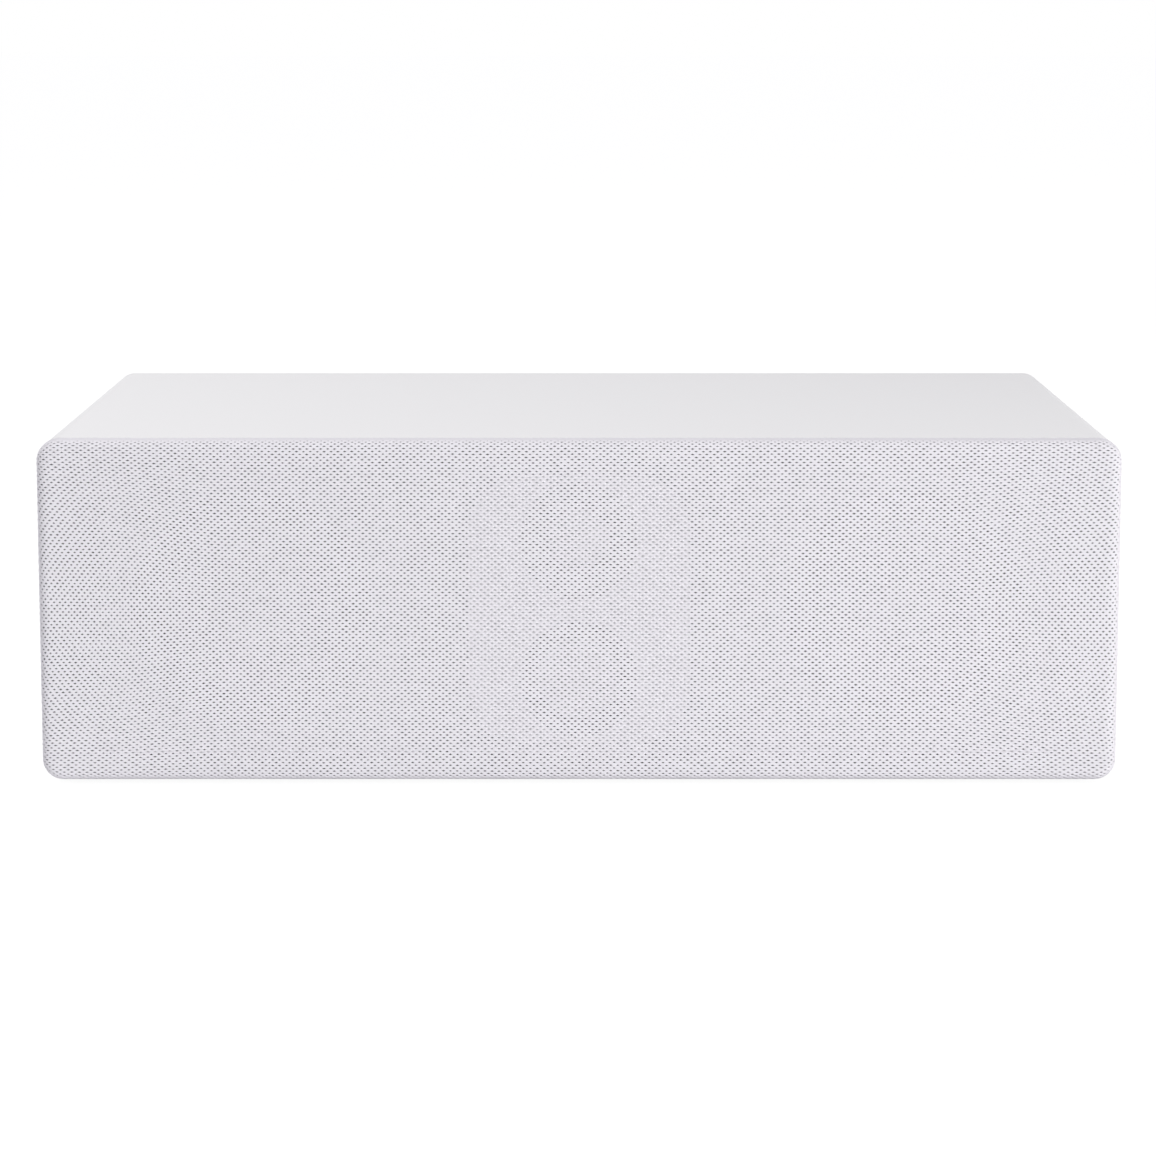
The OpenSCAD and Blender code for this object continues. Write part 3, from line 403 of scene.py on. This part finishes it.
def spider_cloth():
    cloth = Finish("spider_cloth", (0.55, 0.36, 0.12), 0.8)
    weave = cloth.combined("MULTIPLY", cloth.bands(0.5, "X"), cloth.bands(0.5, "Z"))
    cloth.shade(weave, 0.6, 1.15)
    cloth.relief(weave, 0.06)
    return cloth


def coil_copper():
    wire = Finish("coil_copper", (0.60, 0.27, 0.12), 0.32, 1.0)
    winding = wire.bands(0.25, "Y")
    wire.shade(winding, 0.7, 1.1)
    wire.relief(winding, 0.1)
    return wire


def motor_steel():
    steel = Finish("motor_steel", (0.52, 0.53, 0.54), 0.35, 1.0)
    steel.gloss(steel.noise(2, 4), 0.28, 0.45)
    steel.relief(steel.noise(0.5, 3, steel.stretched(1, 8, 1)), 0.012, 0.6)
    return steel


def ferrite():
    ring = Finish("ferrite", (0.045, 0.045, 0.05), 0.7)
    ring.shade(ring.noise(0.6, 6), 0.7, 1.4)
    ring.relief(ring.noise(0.4, 5), 0.04)
    return ring


def dome_metal():
    metal = Finish("dome_metal", (0.42, 0.43, 0.45), 0.3, 1.0)
    metal.gloss(metal.noise(2, 3), 0.25, 0.36)
    metal.relief(metal.noise(0.4, 3), 0.004, 0.5)
    return metal


def tweeter_plastic():
    plastic = Finish("tweeter_plastic", (0.06, 0.063, 0.07), 0.4)
    plastic.gloss(plastic.noise(5, 3), 0.34, 0.5)
    plastic.relief(plastic.noise(0.4, 3), 0.01, 0.6)
    return plastic


def tray_plastic():
    plastic = Finish("tray_plastic", (0.030, 0.030, 0.033), 0.5)
    plastic.shade(plastic.noise(18, 3), 0.9, 1.15)
    plastic.gloss(plastic.noise(1.5, 4), 0.42, 0.6)
    plastic.relief(plastic.cells(0.45), 0.035, 0.8)
    plastic.shader.inputs["Specular IOR Level"].default_value = 0.3
    return plastic


def control_plastic():
    plastic = Finish("control_plastic", (0.018, 0.018, 0.020), 0.3)
    plastic.gloss(plastic.noise(3, 4), 0.24, 0.4)
    plastic.relief(plastic.noise(0.5, 3), 0.008, 0.6)
    return plastic


def panel_board():
    paint = Finish("panel_board", (0.028, 0.028, 0.030), 0.72)
    paint.shade(paint.noise(25, 4), 0.85, 1.2)
    paint.relief(paint.noise(0.8, 5), 0.09, 0.9)
    paint.shader.inputs["Specular IOR Level"].default_value = 0.25
    return paint


def black_screw():
    steel = Finish("black_screw", (0.035, 0.035, 0.038), 0.38, 0.8)
    steel.gloss(steel.noise(1.2, 4), 0.28, 0.5)
    steel.relief(steel.noise(0.3, 3), 0.01, 0.6)
    return steel


def contact_brass():
    brass = Finish("contact_brass", (0.72, 0.55, 0.25), 0.25, 1.0)
    brass.gloss(brass.noise(1.5, 4), 0.18, 0.35)
    return brass


def circuit_board():
    board = Finish("circuit_board", (0.02, 0.17, 0.07), 0.35)
    tracks = board.combined("MAXIMUM", board.bands(3.2, "X"), board.bands(4.4, "Z"))
    board.shade(tracks, 0.7, 1.4)
    board.relief(tracks, 0.03, 0.6)
    return board


def sink_aluminium():
    metal = Finish("sink_aluminium", (0.62, 0.63, 0.64), 0.42, 1.0)
    metal.relief(metal.noise(0.6, 3, metal.stretched(1, 12, 1)), 0.02, 0.7)
    return metal


def capacitor_sleeve():
    sleeve = Finish("capacitor_sleeve", (0.025, 0.035, 0.13), 0.32)
    sleeve.gloss(sleeve.noise(4, 3), 0.25, 0.42)
    sleeve.relief(sleeve.noise(2.2, 2), 0.03, 0.5)
    return sleeve


def transformer_core():
    core = Finish("transformer_core", (0.22, 0.17, 0.08), 0.45, 0.4)
    sheets = core.bands(0.7, "Y")
    core.shade(sheets, 0.6, 1.25)
    core.relief(sheets, 0.06)
    return core


def shield_tin():
    tin = Finish("shield_tin", (0.60, 0.61, 0.62), 0.3, 1.0)
    tin.gloss(tin.noise(3, 4), 0.22, 0.42)
    tin.relief(tin.noise(2.5, 2), 0.03, 0.4)
    return tin


def mark_paint():
    paint = Finish("mark_paint", (0.78, 0.78, 0.76), 0.6)
    paint.shade(paint.noise(0.4, 4), 0.9, 1.05)
    return paint


FINISHES = {
    maker.__name__: maker
    for maker in (
        cabinet_lacquer, grille_knit, fibreboard, baffle_paint, grille_plastic, foot_rubber, silver_plate,
        cast_basket, foam, roll_rubber, cone_paper, mid_cone, spider_cloth, coil_copper, motor_steel, ferrite,
        dome_metal, tweeter_plastic, tray_plastic, control_plastic, panel_board, black_screw, contact_brass,
        circuit_board, sink_aluminium, capacitor_sleeve, transformer_core, shield_tin, mark_paint,
    )
}


def finish_named(name):
    """The material of that name, made the first time it is asked for"""
    return bpy.data.materials.get(name) or FINISHES[name]().material


def finish_nodes(names):
    """Gives each construction piece its slot's finish"""
    for name in names:
        piece = frame["nodes"][name]
        piece.data.materials.clear()
        piece.data.materials.append(finish_named(SLOT_OF[name]))


# Modelling helpers

def settings():
    return bpy.context.scene.loudspeaker


def deselect():
    bpy.ops.object.select_all(action="DESELECT")


def settle(piece, name):
    """Puts the piece's place into its mesh and names it"""
    deselect()
    piece.select_set(True)
    bpy.context.view_layer.objects.active = piece
    bpy.ops.object.transform_apply(location=True, rotation=True, scale=True)
    piece.name = name
    piece.data.name = name
    return piece


def select_mesh(piece, chosen, kind):
    """Selects the faces, edges or vertices of the edited mesh for which chosen(element) is true"""
    mesh = bmesh.from_edit_mesh(piece.data)
    bpy.context.tool_settings.mesh_select_mode = (kind == "verts", kind == "edges", kind == "faces")
    for group in (mesh.verts, mesh.edges, mesh.faces):
        for element in group:
            element.select = False
    for element in getattr(mesh, kind):
        if chosen(element):
            element.select_set(True)
    mesh.select_flush_mode()
    bmesh.update_edit_mesh(piece.data)


def middle_of(element):
    return sum((v.co for v in element.verts), Vector()) / len(element.verts)


def smooth(piece, angle=35):
    deselect()
    piece.select_set(True)
    bpy.context.view_layer.objects.active = piece
    bpy.ops.object.shade_smooth_by_angle(angle=math.radians(angle))


def dress(piece, body, slot, finish=None, replaces=()):
    """Gives a new piece its finish (the slot's finish unless another is named), puts it on its body and hides the
    construction pieces it stands for
    """
    piece.data.materials.clear()
    piece.data.materials.append(finish_named(finish or slot))
    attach(piece, body)
    if replaces:
        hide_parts(*replaces)
    return piece


def joined(pieces, name):
    deselect()
    for piece in pieces:
        piece.select_set(True)
    bpy.context.view_layer.objects.active = pieces[0]
    bpy.ops.object.join()
    return settle(bpy.context.view_layer.objects.active, name)


# Cabinet

def scaled_rim(low, high, inset):
    """Draws the selected rim in by inset on each side of the box's cross-section"""
    width, height = high.x - low.x, high.z - low.z
    bpy.ops.transform.resize(
        value=((width - 2 * inset) / width, 1, (height - 2 * inset) / height),
        center_override=((low + high) / 2)[:],
    )


def cabinet_walls():
    """The cabinet as a tube of even wall with a step at both ends, its long edges well rounded"""
    cabinet = settings().cabinet
    low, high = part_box("cabinet")
    baffle_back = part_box("front_baffle")[1].y
    panel_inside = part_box("rear_panel")[0].y
    deselect()
    bpy.ops.mesh.primitive_cube_add(size=1, location=((low + high) / 2)[:])
    walls = bpy.context.object
    walls.scale = (high - low)[:]
    settle(walls, "cabinet_shell")
    bpy.ops.object.mode_set(mode="EDIT")
    select_mesh(walls, lambda face: abs(face.normal.y) > 0.9, "faces")
    bpy.ops.mesh.delete(type="ONLY_FACE")
    select_mesh(walls, lambda edge: abs(edge.verts[0].co.y - edge.verts[1].co.y) > 0.1, "edges")
    bpy.ops.mesh.bevel(offset=cabinet.edge_radius, segments=cabinet.edge_steps, affect="EDGES")
    seat = cabinet.wall - cabinet.rebate
    select_mesh(walls, lambda edge: max(v.co.y for v in edge.verts) < low.y + MM, "edges")
    bpy.ops.mesh.extrude_edges_move()
    scaled_rim(low, high, seat)
    outline = (low + Vector((seat, 0, seat)), high - Vector((seat, 0, seat)))
    bpy.ops.mesh.extrude_edges_move(TRANSFORM_OT_translate={"value": (0, baffle_back - low.y, 0)})
    bpy.ops.mesh.extrude_edges_move()
    scaled_rim(*outline, cabinet.rebate)
    bpy.ops.mesh.extrude_edges_move(TRANSFORM_OT_translate={"value": (0, panel_inside - baffle_back, 0)})
    bpy.ops.mesh.extrude_edges_move()
    inner = (outline[0] + Vector((cabinet.rebate, 0, cabinet.rebate)),
             outline[1] - Vector((cabinet.rebate, 0, cabinet.rebate)))
    scaled_rim(*inner, -cabinet.rebate)
    bpy.ops.mesh.extrude_edges_move(TRANSFORM_OT_translate={"value": (0, high.y - panel_inside, 0)})
    select_mesh(walls, lambda edge: min(v.co.y for v in edge.verts) > high.y - MM, "edges")
    bpy.ops.mesh.bridge_edge_loops()
    bpy.ops.mesh.select_all(action="SELECT")
    bpy.ops.mesh.normals_make_consistent(inside=False)

    def on_rim(edge):
        """True for an outer edge of the front or rear rim"""
        flat = abs(edge.verts[0].co.y - edge.verts[1].co.y) < MM / 10
        at_end = edge.verts[0].co.y < low.y + MM / 10 or edge.verts[0].co.y > high.y - MM / 10
        outside = [face for face in edge.link_faces if abs(face.normal.y) < 0.5]
        centre = middle_of(edge)
        near = min(centre.x - low.x, high.x - centre.x, centre.z - low.z, high.z - centre.z)
        return flat and at_end and bool(outside) and near < seat / 2

    select_mesh(walls, on_rim, "edges")
    bpy.ops.mesh.bevel(offset=cabinet.rim_round, segments=4, affect="EDGES")
    bpy.ops.object.mode_set(mode="OBJECT")
    return walls


def corner_blocks():
    """The four square blocks in the rear corners that take the panel's screws"""
    cabinet = settings().cabinet
    low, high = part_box("cabinet")
    panel_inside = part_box("rear_panel")[0].y
    side = cabinet.block
    blocks = []
    for x in (low.x + cabinet.wall + side / 2, high.x - cabinet.wall - side / 2):
        for z in (low.z + cabinet.wall + side / 2, high.z - cabinet.wall - side / 2):
            deselect()
            bpy.ops.mesh.primitive_cube_add(size=side, location=(x, panel_inside - side / 2, z))
            block = bpy.context.object
            bevel = block.modifiers.new("Edge", "BEVEL")
            bevel.width = cabinet.block_round
            bpy.ops.object.modifier_apply(modifier=bevel.name)
            blocks.append(block)
    return blocks


class OBJECT_OT_loudspeaker_cabinet(bpy.types.Operator):
    """Models the lacquered cabinet with its stepped rims and its corner blocks"""

    bl_idname = "object.loudspeaker_cabinet"
    bl_label = "Cabinet"

    def execute(self, context):
        shell = joined([cabinet_walls(), *corner_blocks()], "cabinet_shell")
        smooth(shell)
        dress(shell, "speaker", "cabinet_lacquer", replaces=["cabinet"])
        return {"FINISHED"}


# Grille cloth

def smooth_step(value):
    value = np.clip(value, 0, 1)
    return value * value * (3 - 2 * value)


def stretched_knit(u, v, half_width, half_height):
    """Where the cloth's points lie once it is pulled over the frame: the rows bow out towards the corners"""
    knit = settings().knit
    start, full = half_width - knit.pull_start, half_width - knit.pull_full
    beyond = np.clip((np.abs(u) - start) / (full - start), 0, None)
    gain = smooth_step(beyond)
    inner = np.clip(beyond, 0, 1)
    drawn = (inner ** 3 - inner ** 4 / 2 + np.clip(beyond - 1, 0, None)) * (full - start)
    turn = math.pi / half_height
    new_u = u * (1 + knit.widening * u) - knit.pull * turn * np.cos(turn * v) * drawn * np.sign(u)
    new_v = v + knit.pull * gain * np.sin(turn * v)
    # Slow waves, in radians a metre, so that the rows don't look ruled
    new_u = new_u + knit.wander * np.sin(v * 190 + 1.3) * np.cos(u * 61)
    new_v = new_v + knit.wander * np.sin(u * 83 + 0.7) * np.cos(v * 97 + 0.4)
    return new_u, new_v


def wrapped(u, v, lift, low, high):
    """Lays flat cloth points over the grille: a flat face, a quarter turn and a straight return"""
    knit = settings().knit
    corner = settings().cabinet.edge_radius
    inset = corner - knit.turn
    core_x, core_z = (high.x - low.x) / 2 - corner, (high.z - low.z) / 2 - corner
    near_x, near_z = np.clip(u, -core_x, core_x), np.clip(v, -core_z, core_z)
    off_x, off_z = u - near_x, v - near_z
    away = np.hypot(off_x, off_z)
    out_x = np.divide(off_x, away, out=np.zeros_like(away), where=away > 0)
    out_z = np.divide(off_z, away, out=np.zeros_like(away), where=away > 0)
    quarter = knit.turn * math.pi / 2
    longest = quarter + (high.y - low.y) - knit.turn
    path = np.clip(away - inset, 0, longest)
    angle = np.clip(path / knit.turn, 0, math.pi / 2)
    straight = np.clip(path - quarter, 0, None)
    reach = np.where(away > inset, inset + knit.turn * np.sin(angle), away)
    depth = knit.turn * (1 - np.cos(angle)) + straight
    reach = reach + lift * np.sin(angle)
    centre = (low + high) / 2
    points = np.stack([
        centre.x + near_x + out_x * reach,
        low.y + depth - lift * np.cos(angle),
        centre.z + near_z + out_z * reach,
    ], axis=-1)
    return points, away - inset <= longest


def knit_points(low, high):
    """The cells of the knit: their shared corners, their holes and the faces between them"""
    knit = settings().knit
    corner = settings().cabinet.edge_radius
    half_width, half_height = (high.x - low.x) / 2, (high.z - low.z) / 2
    # Enough cells to reach round the frame's edge where the pull draws them in; wrapped() says which are kept
    columns = int((half_width + 6 * corner) / knit.pitch)
    rows = int((half_height + 4 * corner) / knit.row)
    column, row = np.meshgrid(np.arange(-columns, columns + 1), np.arange(-rows, rows + 1), indexing="ij")
    odd = row % 2
    centre_u = (column + odd / 2) * knit.pitch
    centre_v = row * knit.row
    corner_u, corner_v = stretched_knit(centre_u + knit.pitch / 2, centre_v, half_width, half_height)
    hole_u, hole_v = stretched_knit(centre_u, centre_v, half_width, half_height)
    height = rows * 2 + 1
    index = (column + columns) * height + (row + rows)
    inside = (column > -columns) & (row > -rows) & (row < rows)
    above = index + 1 + (odd - 1) * height
    below = index - 1 + (odd - 1) * height
    ring = np.stack([index, above, index - height, below], axis=-1)[inside]
    hole_u, hole_v = hole_u[inside], hole_v[inside]
    flat_u, flat_v = corner_u.ravel(), corner_v.ravel()
    rng = np.random.RandomState(7)
    size = rng.uniform(1 - knit.looseness, 1 + knit.looseness, len(hole_u))
    hole_u = hole_u + rng.uniform(-knit.stray_across, knit.stray_across, len(hole_u)) * knit.pitch
    hole_v = hole_v + rng.uniform(-knit.stray_up, knit.stray_up, len(hole_v)) * knit.row
    share = np.array([knit.hole_width, knit.hole_height, knit.hole_width, knit.hole_height]) * size[:, None]
    rim_u = hole_u[:, None] + (flat_u[ring] - hole_u[:, None]) * share
    rim_v = hole_v[:, None] + (flat_v[ring] - hole_v[:, None]) * share
    knots, _ = wrapped(flat_u, flat_v, np.full(flat_u.shape, knit.knot_rise), low, high)
    rims, _ = wrapped(rim_u.ravel(), rim_v.ravel(), np.full(rim_u.size, -knit.rim_drop), low, high)
    _, kept = wrapped(hole_u, hole_v, np.zeros(len(hole_u)), low, high)
    rim_index = len(flat_u) + np.arange(rim_u.size).reshape(-1, 4)
    following = np.roll(np.arange(4), -1)
    quads = np.stack([ring, rim_index, rim_index[:, following], ring[:, following]], axis=-1)
    return np.concatenate([knots, rims]), quads[kept].reshape(-1, 4)


def knit_cloth():
    """The whole cloth as one open mesh, with a real hole in each cell of the knit"""
    low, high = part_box("grille_cloth")
    points, quads = knit_points(low, high)
    used, compact = np.unique(quads, return_inverse=True)
    mesh = bpy.data.meshes.new("grille_knit_cloth")
    mesh.from_pydata(points[used].tolist(), [], compact.reshape(quads.shape).tolist())
    mesh.update()
    cloth = bpy.data.objects.new("grille_knit_cloth", mesh)
    bpy.context.scene.collection.objects.link(cloth)
    mesh.polygons.foreach_set("use_smooth", [True] * len(mesh.polygons))
    return cloth


class OBJECT_OT_loudspeaker_grille(bpy.types.Operator):
    """Knits the grille cloth and finishes the frame that it is stretched over"""

    bl_idname = "object.loudspeaker_grille"
    bl_label = "Grille"

    def execute(self, context):
        cloth = knit_cloth()
        dress(cloth, "speaker", "grille_knit", replaces=["grille_cloth"])
        finish_nodes(["grille_frame", "grille_cups"])
        return {"FINISHED"}


# Drivers, baffle and inner pieces

class OBJECT_OT_loudspeaker_drivers(bpy.types.Operator):
    """Finishes the baffle, the silver plate and every piece of the four drivers"""

    bl_idname = "object.loudspeaker_drivers"
    bl_label = "Drivers"

    def execute(self, context):
        starts = ("front_baffle", "left_divider", "right_divider", "centre_plate", "left_woofer", "right_woofer",
                  "tweeter", "midrange")
        finish_nodes([name for name in frame["nodes"] if name.startswith(starts)])
        return {"FINISHED"}


class OBJECT_OT_loudspeaker_electronics(bpy.types.Operator):
    """Finishes the amplifier board and what it carries"""

    bl_idname = "object.loudspeaker_electronics"
    bl_label = "Electronics"

    def execute(self, context):
        finish_nodes(["amplifier_board", "heat_sink", "capacitors", "transformer", "wireless_module"])
        return {"FINISHED"}


# Rear fittings

def islands(node):
    """The boxes round the loose parts of a construction piece"""
    mesh = bmesh.new()
    mesh.from_mesh(frame["nodes"][node].data)
    bmesh.ops.remove_doubles(mesh, verts=mesh.verts, dist=1e-6)
    seen, boxes = set(), []
    for start in mesh.verts:
        if start in seen:
            continue
        stack, low, high = [start], Vector(start.co), Vector(start.co)
        seen.add(start)
        while stack:
            vertex = stack.pop()
            low = Vector(map(min, low, vertex.co))
            high = Vector(map(max, high, vertex.co))
            for edge in vertex.link_edges:
                other = edge.other_vert(vertex)
                if other not in seen:
                    seen.add(other)
                    stack.append(other)
        boxes.append((low, high))
    mesh.free()
    return boxes


def screw_head(radius, height):
    """A pan head with a crowned top and a cross recess, drawn along +Z from zero"""
    deselect()
    bpy.ops.mesh.primitive_cylinder_add(vertices=40, radius=radius, depth=height, location=(0, 0, height / 2))
    head = settle(bpy.context.object, "screw_head")
    crown = head.modifiers.new("Crown", "BEVEL")
    crown.width = height * 0.55
    crown.segments = 5
    bpy.ops.object.modifier_apply(modifier=crown.name)
    bars = []
    for turn in (0, math.pi / 2):
        deselect()
        bpy.ops.mesh.primitive_cube_add(size=1, location=(0, 0, height), rotation=(0, 0, turn))
        bar = bpy.context.object
        bar.scale = (radius * 1.2, radius * 0.26, height * 1.3)
        bars.append(bar)
    cross = joined(bars, "cross")
    cut = head.modifiers.new("Recess", "BOOLEAN")
    cut.object = cross
    cut.solver = "EXACT"
    cut.use_self = True
    deselect()
    head.select_set(True)
    bpy.context.view_layer.objects.active = head
    bpy.ops.object.modifier_apply(modifier=cut.name)
    bpy.data.objects.remove(cross)
    return head


def copy_to(piece, place, turn):
    copy = piece.copy()
    copy.data = piece.data.copy()
    bpy.context.scene.collection.objects.link(copy)
    copy.matrix_world = Matrix.Translation(place) @ turn
    return copy


def shank(radius, start, end):
    """A threaded stem between two places along the depth"""
    deselect()
    bpy.ops.mesh.primitive_cylinder_add(vertices=20, radius=radius, depth=abs(end.y - start.y),
                                        location=((start + end) / 2)[:], rotation=(math.pi / 2, 0, 0))
    return bpy.context.object


def screws(node, outwards, name):
    """Crossed pan heads with their stems, one for each screw of a construction piece"""
    fittings = settings().fittings
    height = fittings.screw_rise
    head = screw_head(fittings.screw_head, height)
    turn = Matrix.Rotation(-outwards * math.pi / 2, 4, "X")
    parts = []
    for number, (low, high) in enumerate(islands(node)):
        centre = (low + high) / 2
        tip = Vector((centre.x, low.y if outwards > 0 else high.y, centre.z))
        seat = Vector((centre.x, high.y - height if outwards > 0 else low.y + height, centre.z))
        spin = Matrix.Rotation(fittings.screw_turn * number, 4, "Z")
        parts.append(copy_to(head, seat, turn @ spin))
        parts.append(shank(fittings.screw_stem, seat, tip))
    bpy.data.objects.remove(head)
    return joined(parts, name)


def surface_at(node, x, z, side):
    """The point and outward normal of a construction piece seen along the depth from that side"""
    tree = BVHTree.FromObject(frame["nodes"][node], bpy.context.evaluated_depsgraph_get())
    point, normal, _, _ = tree.ray_cast(Vector((x, side, z)), Vector((0, -side, 0)))
    if point is None:
        raise RuntimeError(f"{node} isn't met at {x}, {z}")
    return point, normal if normal.y * side > 0 else -normal


def rocker_mark(kind, upper):
    """A bar or a ring printed on one half of the rocker's face"""
    fittings = settings().fittings
    size = fittings.mark_size
    low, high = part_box("power_rocker")
    centre = (low + high) / 2
    rise = fittings.mark_place if upper else -fittings.mark_place
    place, normal = surface_at("power_rocker", centre.x, centre.z + rise, 1)
    deselect()
    if kind == "bar":
        bpy.ops.mesh.primitive_cube_add(size=1)
        mark = bpy.context.object
        mark.scale = (size * 0.16, size, 0.12 * MM)
        settle(mark, "rocker_bar")
        bevel = mark.modifiers.new("Edge", "BEVEL")
        bevel.width = 0.03 * MM
        bpy.ops.object.modifier_apply(modifier=bevel.name)
    else:
        bpy.ops.mesh.primitive_torus_add(major_segments=48, minor_segments=8, major_radius=size * 0.42,
                                         minor_radius=size * 0.08)
        mark = bpy.context.object
        mark.scale = (1, 1, 0.3)
    mark.matrix_world = (Matrix.Translation(place + normal * fittings.mark_lift)
                         @ normal.to_track_quat("Z", "Y").to_matrix().to_4x4() @ mark.matrix_world)
    settle(mark, f"rocker_{kind}_mark")
    smooth(mark)
    return mark


class OBJECT_OT_loudspeaker_rear(bpy.types.Operator):
    """Finishes the rear panel, the ports, the connection tray and its fittings"""

    bl_idname = "object.loudspeaker_rear"
    bl_label = "Rear side"

    def execute(self, context):
        finish_nodes(["rear_panel", "left_port", "right_port", "connection_tray", "mains_inlet", "inlet_pins",
                      "rocker_housing", "power_rocker", "pairing_button", "line_socket", "rubber_feet"])
        for kind, upper in (("bar", True), ("ring", False)):
            dress(rocker_mark(kind, upper), "rocker", "control_plastic", finish="mark_paint")
        return {"FINISHED"}


class OBJECT_OT_loudspeaker_screws(bpy.types.Operator):
    """Models the crossed screws of the woofers and of the rear panel"""

    bl_idname = "object.loudspeaker_screws"
    bl_label = "Screws"

    def execute(self, context):
        for node, outwards in (("panel_screws", 1), ("woofer_screws", -1)):
            group = screws(node, outwards, node.replace("screws", "cross_screws"))
            smooth(group)
            dress(group, "speaker", "black_screw", replaces=[node])
        return {"FINISHED"}


# Stage

def camera():
    shot = settings().shot
    lens = bpy.data.cameras.new("Camera")
    lens.sensor_width = 36
    lens.sensor_fit = "AUTO"
    lens.lens = shot.lens
    lens.shift_y = shot.shift
    lens.clip_start = 0.05
    lens.clip_end = 60
    stand = bpy.data.objects.new("Camera", lens)
    stand.location = (shot.aside, -shot.back, shot.height)
    stand.rotation_euler = (math.pi / 2 - shot.pitch, 0, 0)
    bpy.context.scene.collection.objects.link(stand)
    bpy.context.scene.camera = stand


class OBJECT_OT_loudspeaker_camera(bpy.types.Operator):
    """Puts the camera in front of the loudspeaker"""

    bl_idname = "object.loudspeaker_camera"
    bl_label = "Camera"

    def execute(self, context):
        camera()
        return {"FINISHED"}


def background_rays(nodes, links):
    """One where the ray comes from the camera, a reflection or clear glass, and zero elsewhere"""
    path = nodes.new("ShaderNodeLightPath")
    total = path.outputs["Is Camera Ray"]
    for name in ("Is Glossy Ray", "Is Transmission Ray"):
        both = nodes.new("ShaderNodeMath")
        both.operation = "MAXIMUM"
        links.new(total, both.inputs[0])
        links.new(path.outputs[name], both.inputs[1])
        total = both.outputs[0]
    return total


def world_light():
    world = bpy.data.worlds.new("Studio")
    bpy.context.scene.world = world
    world.use_nodes = True
    nodes, links = world.node_tree.nodes, world.node_tree.links
    strength = nodes.new("ShaderNodeMapRange")
    links.new(background_rays(nodes, links), strength.inputs["Value"])
    strength.inputs["To Min"].default_value = settings().studio.ambient
    strength.inputs["To Max"].default_value = 1
    background = nodes["Background"]
    tint = nodes.new("ShaderNodeMix")
    tint.data_type = "RGBA"
    links.new(background_rays(nodes, links), tint.inputs["Factor"])
    tint.inputs[6].default_value = (*settings().studio.ambient_tint, 1)
    tint.inputs[7].default_value = (1, 1, 1, 1)
    links.new(tint.outputs[2], background.inputs["Color"])
    links.new(strength.outputs[0], background.inputs["Strength"])


def floor_plane():
    studio = settings().studio
    deselect()
    bpy.ops.mesh.primitive_plane_add(size=studio.floor_size)
    floor = settle(bpy.context.object, "studio_floor")
    material = bpy.data.materials.new("studio_floor")
    material.use_nodes = True
    nodes, links = material.node_tree.nodes, material.node_tree.links
    shader = nodes["Principled BSDF"]
    shader.inputs["Base Color"].default_value = (*[studio.floor_grey] * 3, 1)
    shader.inputs["Roughness"].default_value = 0.9
    shader.inputs["Specular IOR Level"].default_value = 0
    white = nodes.new("ShaderNodeEmission")
    white.inputs["Strength"].default_value = studio.floor_glow
    share = nodes.new("ShaderNodeMath")
    share.operation = "MULTIPLY"
    links.new(background_rays(nodes, links), share.inputs[0])
    share.inputs[1].default_value = studio.floor_white
    mix = nodes.new("ShaderNodeMixShader")
    links.new(share.outputs[0], mix.inputs[0])
    links.new(shader.outputs[0], mix.inputs[1])
    links.new(white.outputs[0], mix.inputs[2])
    links.new(mix.outputs[0], nodes["Material Output"].inputs["Surface"])
    floor.data.materials.append(material)


def soft_lamp(name, place, size, power):
    """A square lamp that looks at the middle of the object"""
    light = bpy.data.lights.new(name, "AREA")
    light.size = size
    light.energy = power
    light.color = settings().studio.lamp_tint
    lamp = bpy.data.objects.new(name, light)
    low, high = CAD_BOX
    aim = (low + high) / 2 - Vector(place)
    lamp.location = place
    lamp.rotation_euler = aim.to_track_quat("-Z", "Y").to_euler()
    bpy.context.scene.collection.objects.link(lamp)


class OBJECT_OT_loudspeaker_stage(bpy.types.Operator):
    """Lays the white floor and sets the even studio light with its soft lamps"""

    bl_idname = "object.loudspeaker_stage"
    bl_label = "Stage"

    def execute(self, context):
        studio = settings().studio
        context.scene.view_settings.view_transform = "Standard"
        world_light()
        floor_plane()
        soft_lamp("key_lamp", studio.key_place, studio.key_size, studio.key)
        soft_lamp("top_lamp", studio.top_place, studio.top_size, studio.top)
        return {"FINISHED"}


# Panel and registration

OPERATORS = (
    OBJECT_OT_loudspeaker_camera,
    OBJECT_OT_loudspeaker_stage,
    OBJECT_OT_loudspeaker_cabinet,
    OBJECT_OT_loudspeaker_grille,
    OBJECT_OT_loudspeaker_drivers,
    OBJECT_OT_loudspeaker_electronics,
    OBJECT_OT_loudspeaker_rear,
    OBJECT_OT_loudspeaker_screws,
)


class VIEW3D_PT_loudspeaker(bpy.types.Panel):
    """Buttons and sizes of the loudspeaker"""

    bl_label = "Loudspeaker"
    bl_idname = "VIEW3D_PT_loudspeaker"
    bl_space_type = "VIEW_3D"
    bl_region_type = "UI"
    bl_category = "Loudspeaker"

    def draw(self, context):
        for operator in OPERATORS:
            self.layout.operator(operator.bl_idname)
        for group in ("cabinet", "knit", "fittings", "studio", "shot"):
            box = self.layout.box()
            box.label(text=group.capitalize())
            values = getattr(settings(), group)
            for name in values.bl_rna.properties.keys():
                if name not in ("rna_type", "name"):
                    box.prop(values, name)


CLASSES = (
    ShotSettings, StudioSettings, CabinetSettings, KnitSettings, FittingSettings, LoudspeakerSettings,
    *OPERATORS, VIEW3D_PT_loudspeaker,
)


def register():
    for item in CLASSES:
        bpy.utils.register_class(item)
    bpy.types.Scene.loudspeaker = PointerProperty(type=LoudspeakerSettings)


def unregister():
    del bpy.types.Scene.loudspeaker
    for item in reversed(CLASSES):
        bpy.utils.unregister_class(item)


def main():
    register()
    for operator in OPERATORS:
        group, name = operator.bl_idname.split(".")
        getattr(getattr(bpy.ops, group), name)()


if __name__ == "__main__":
    main()
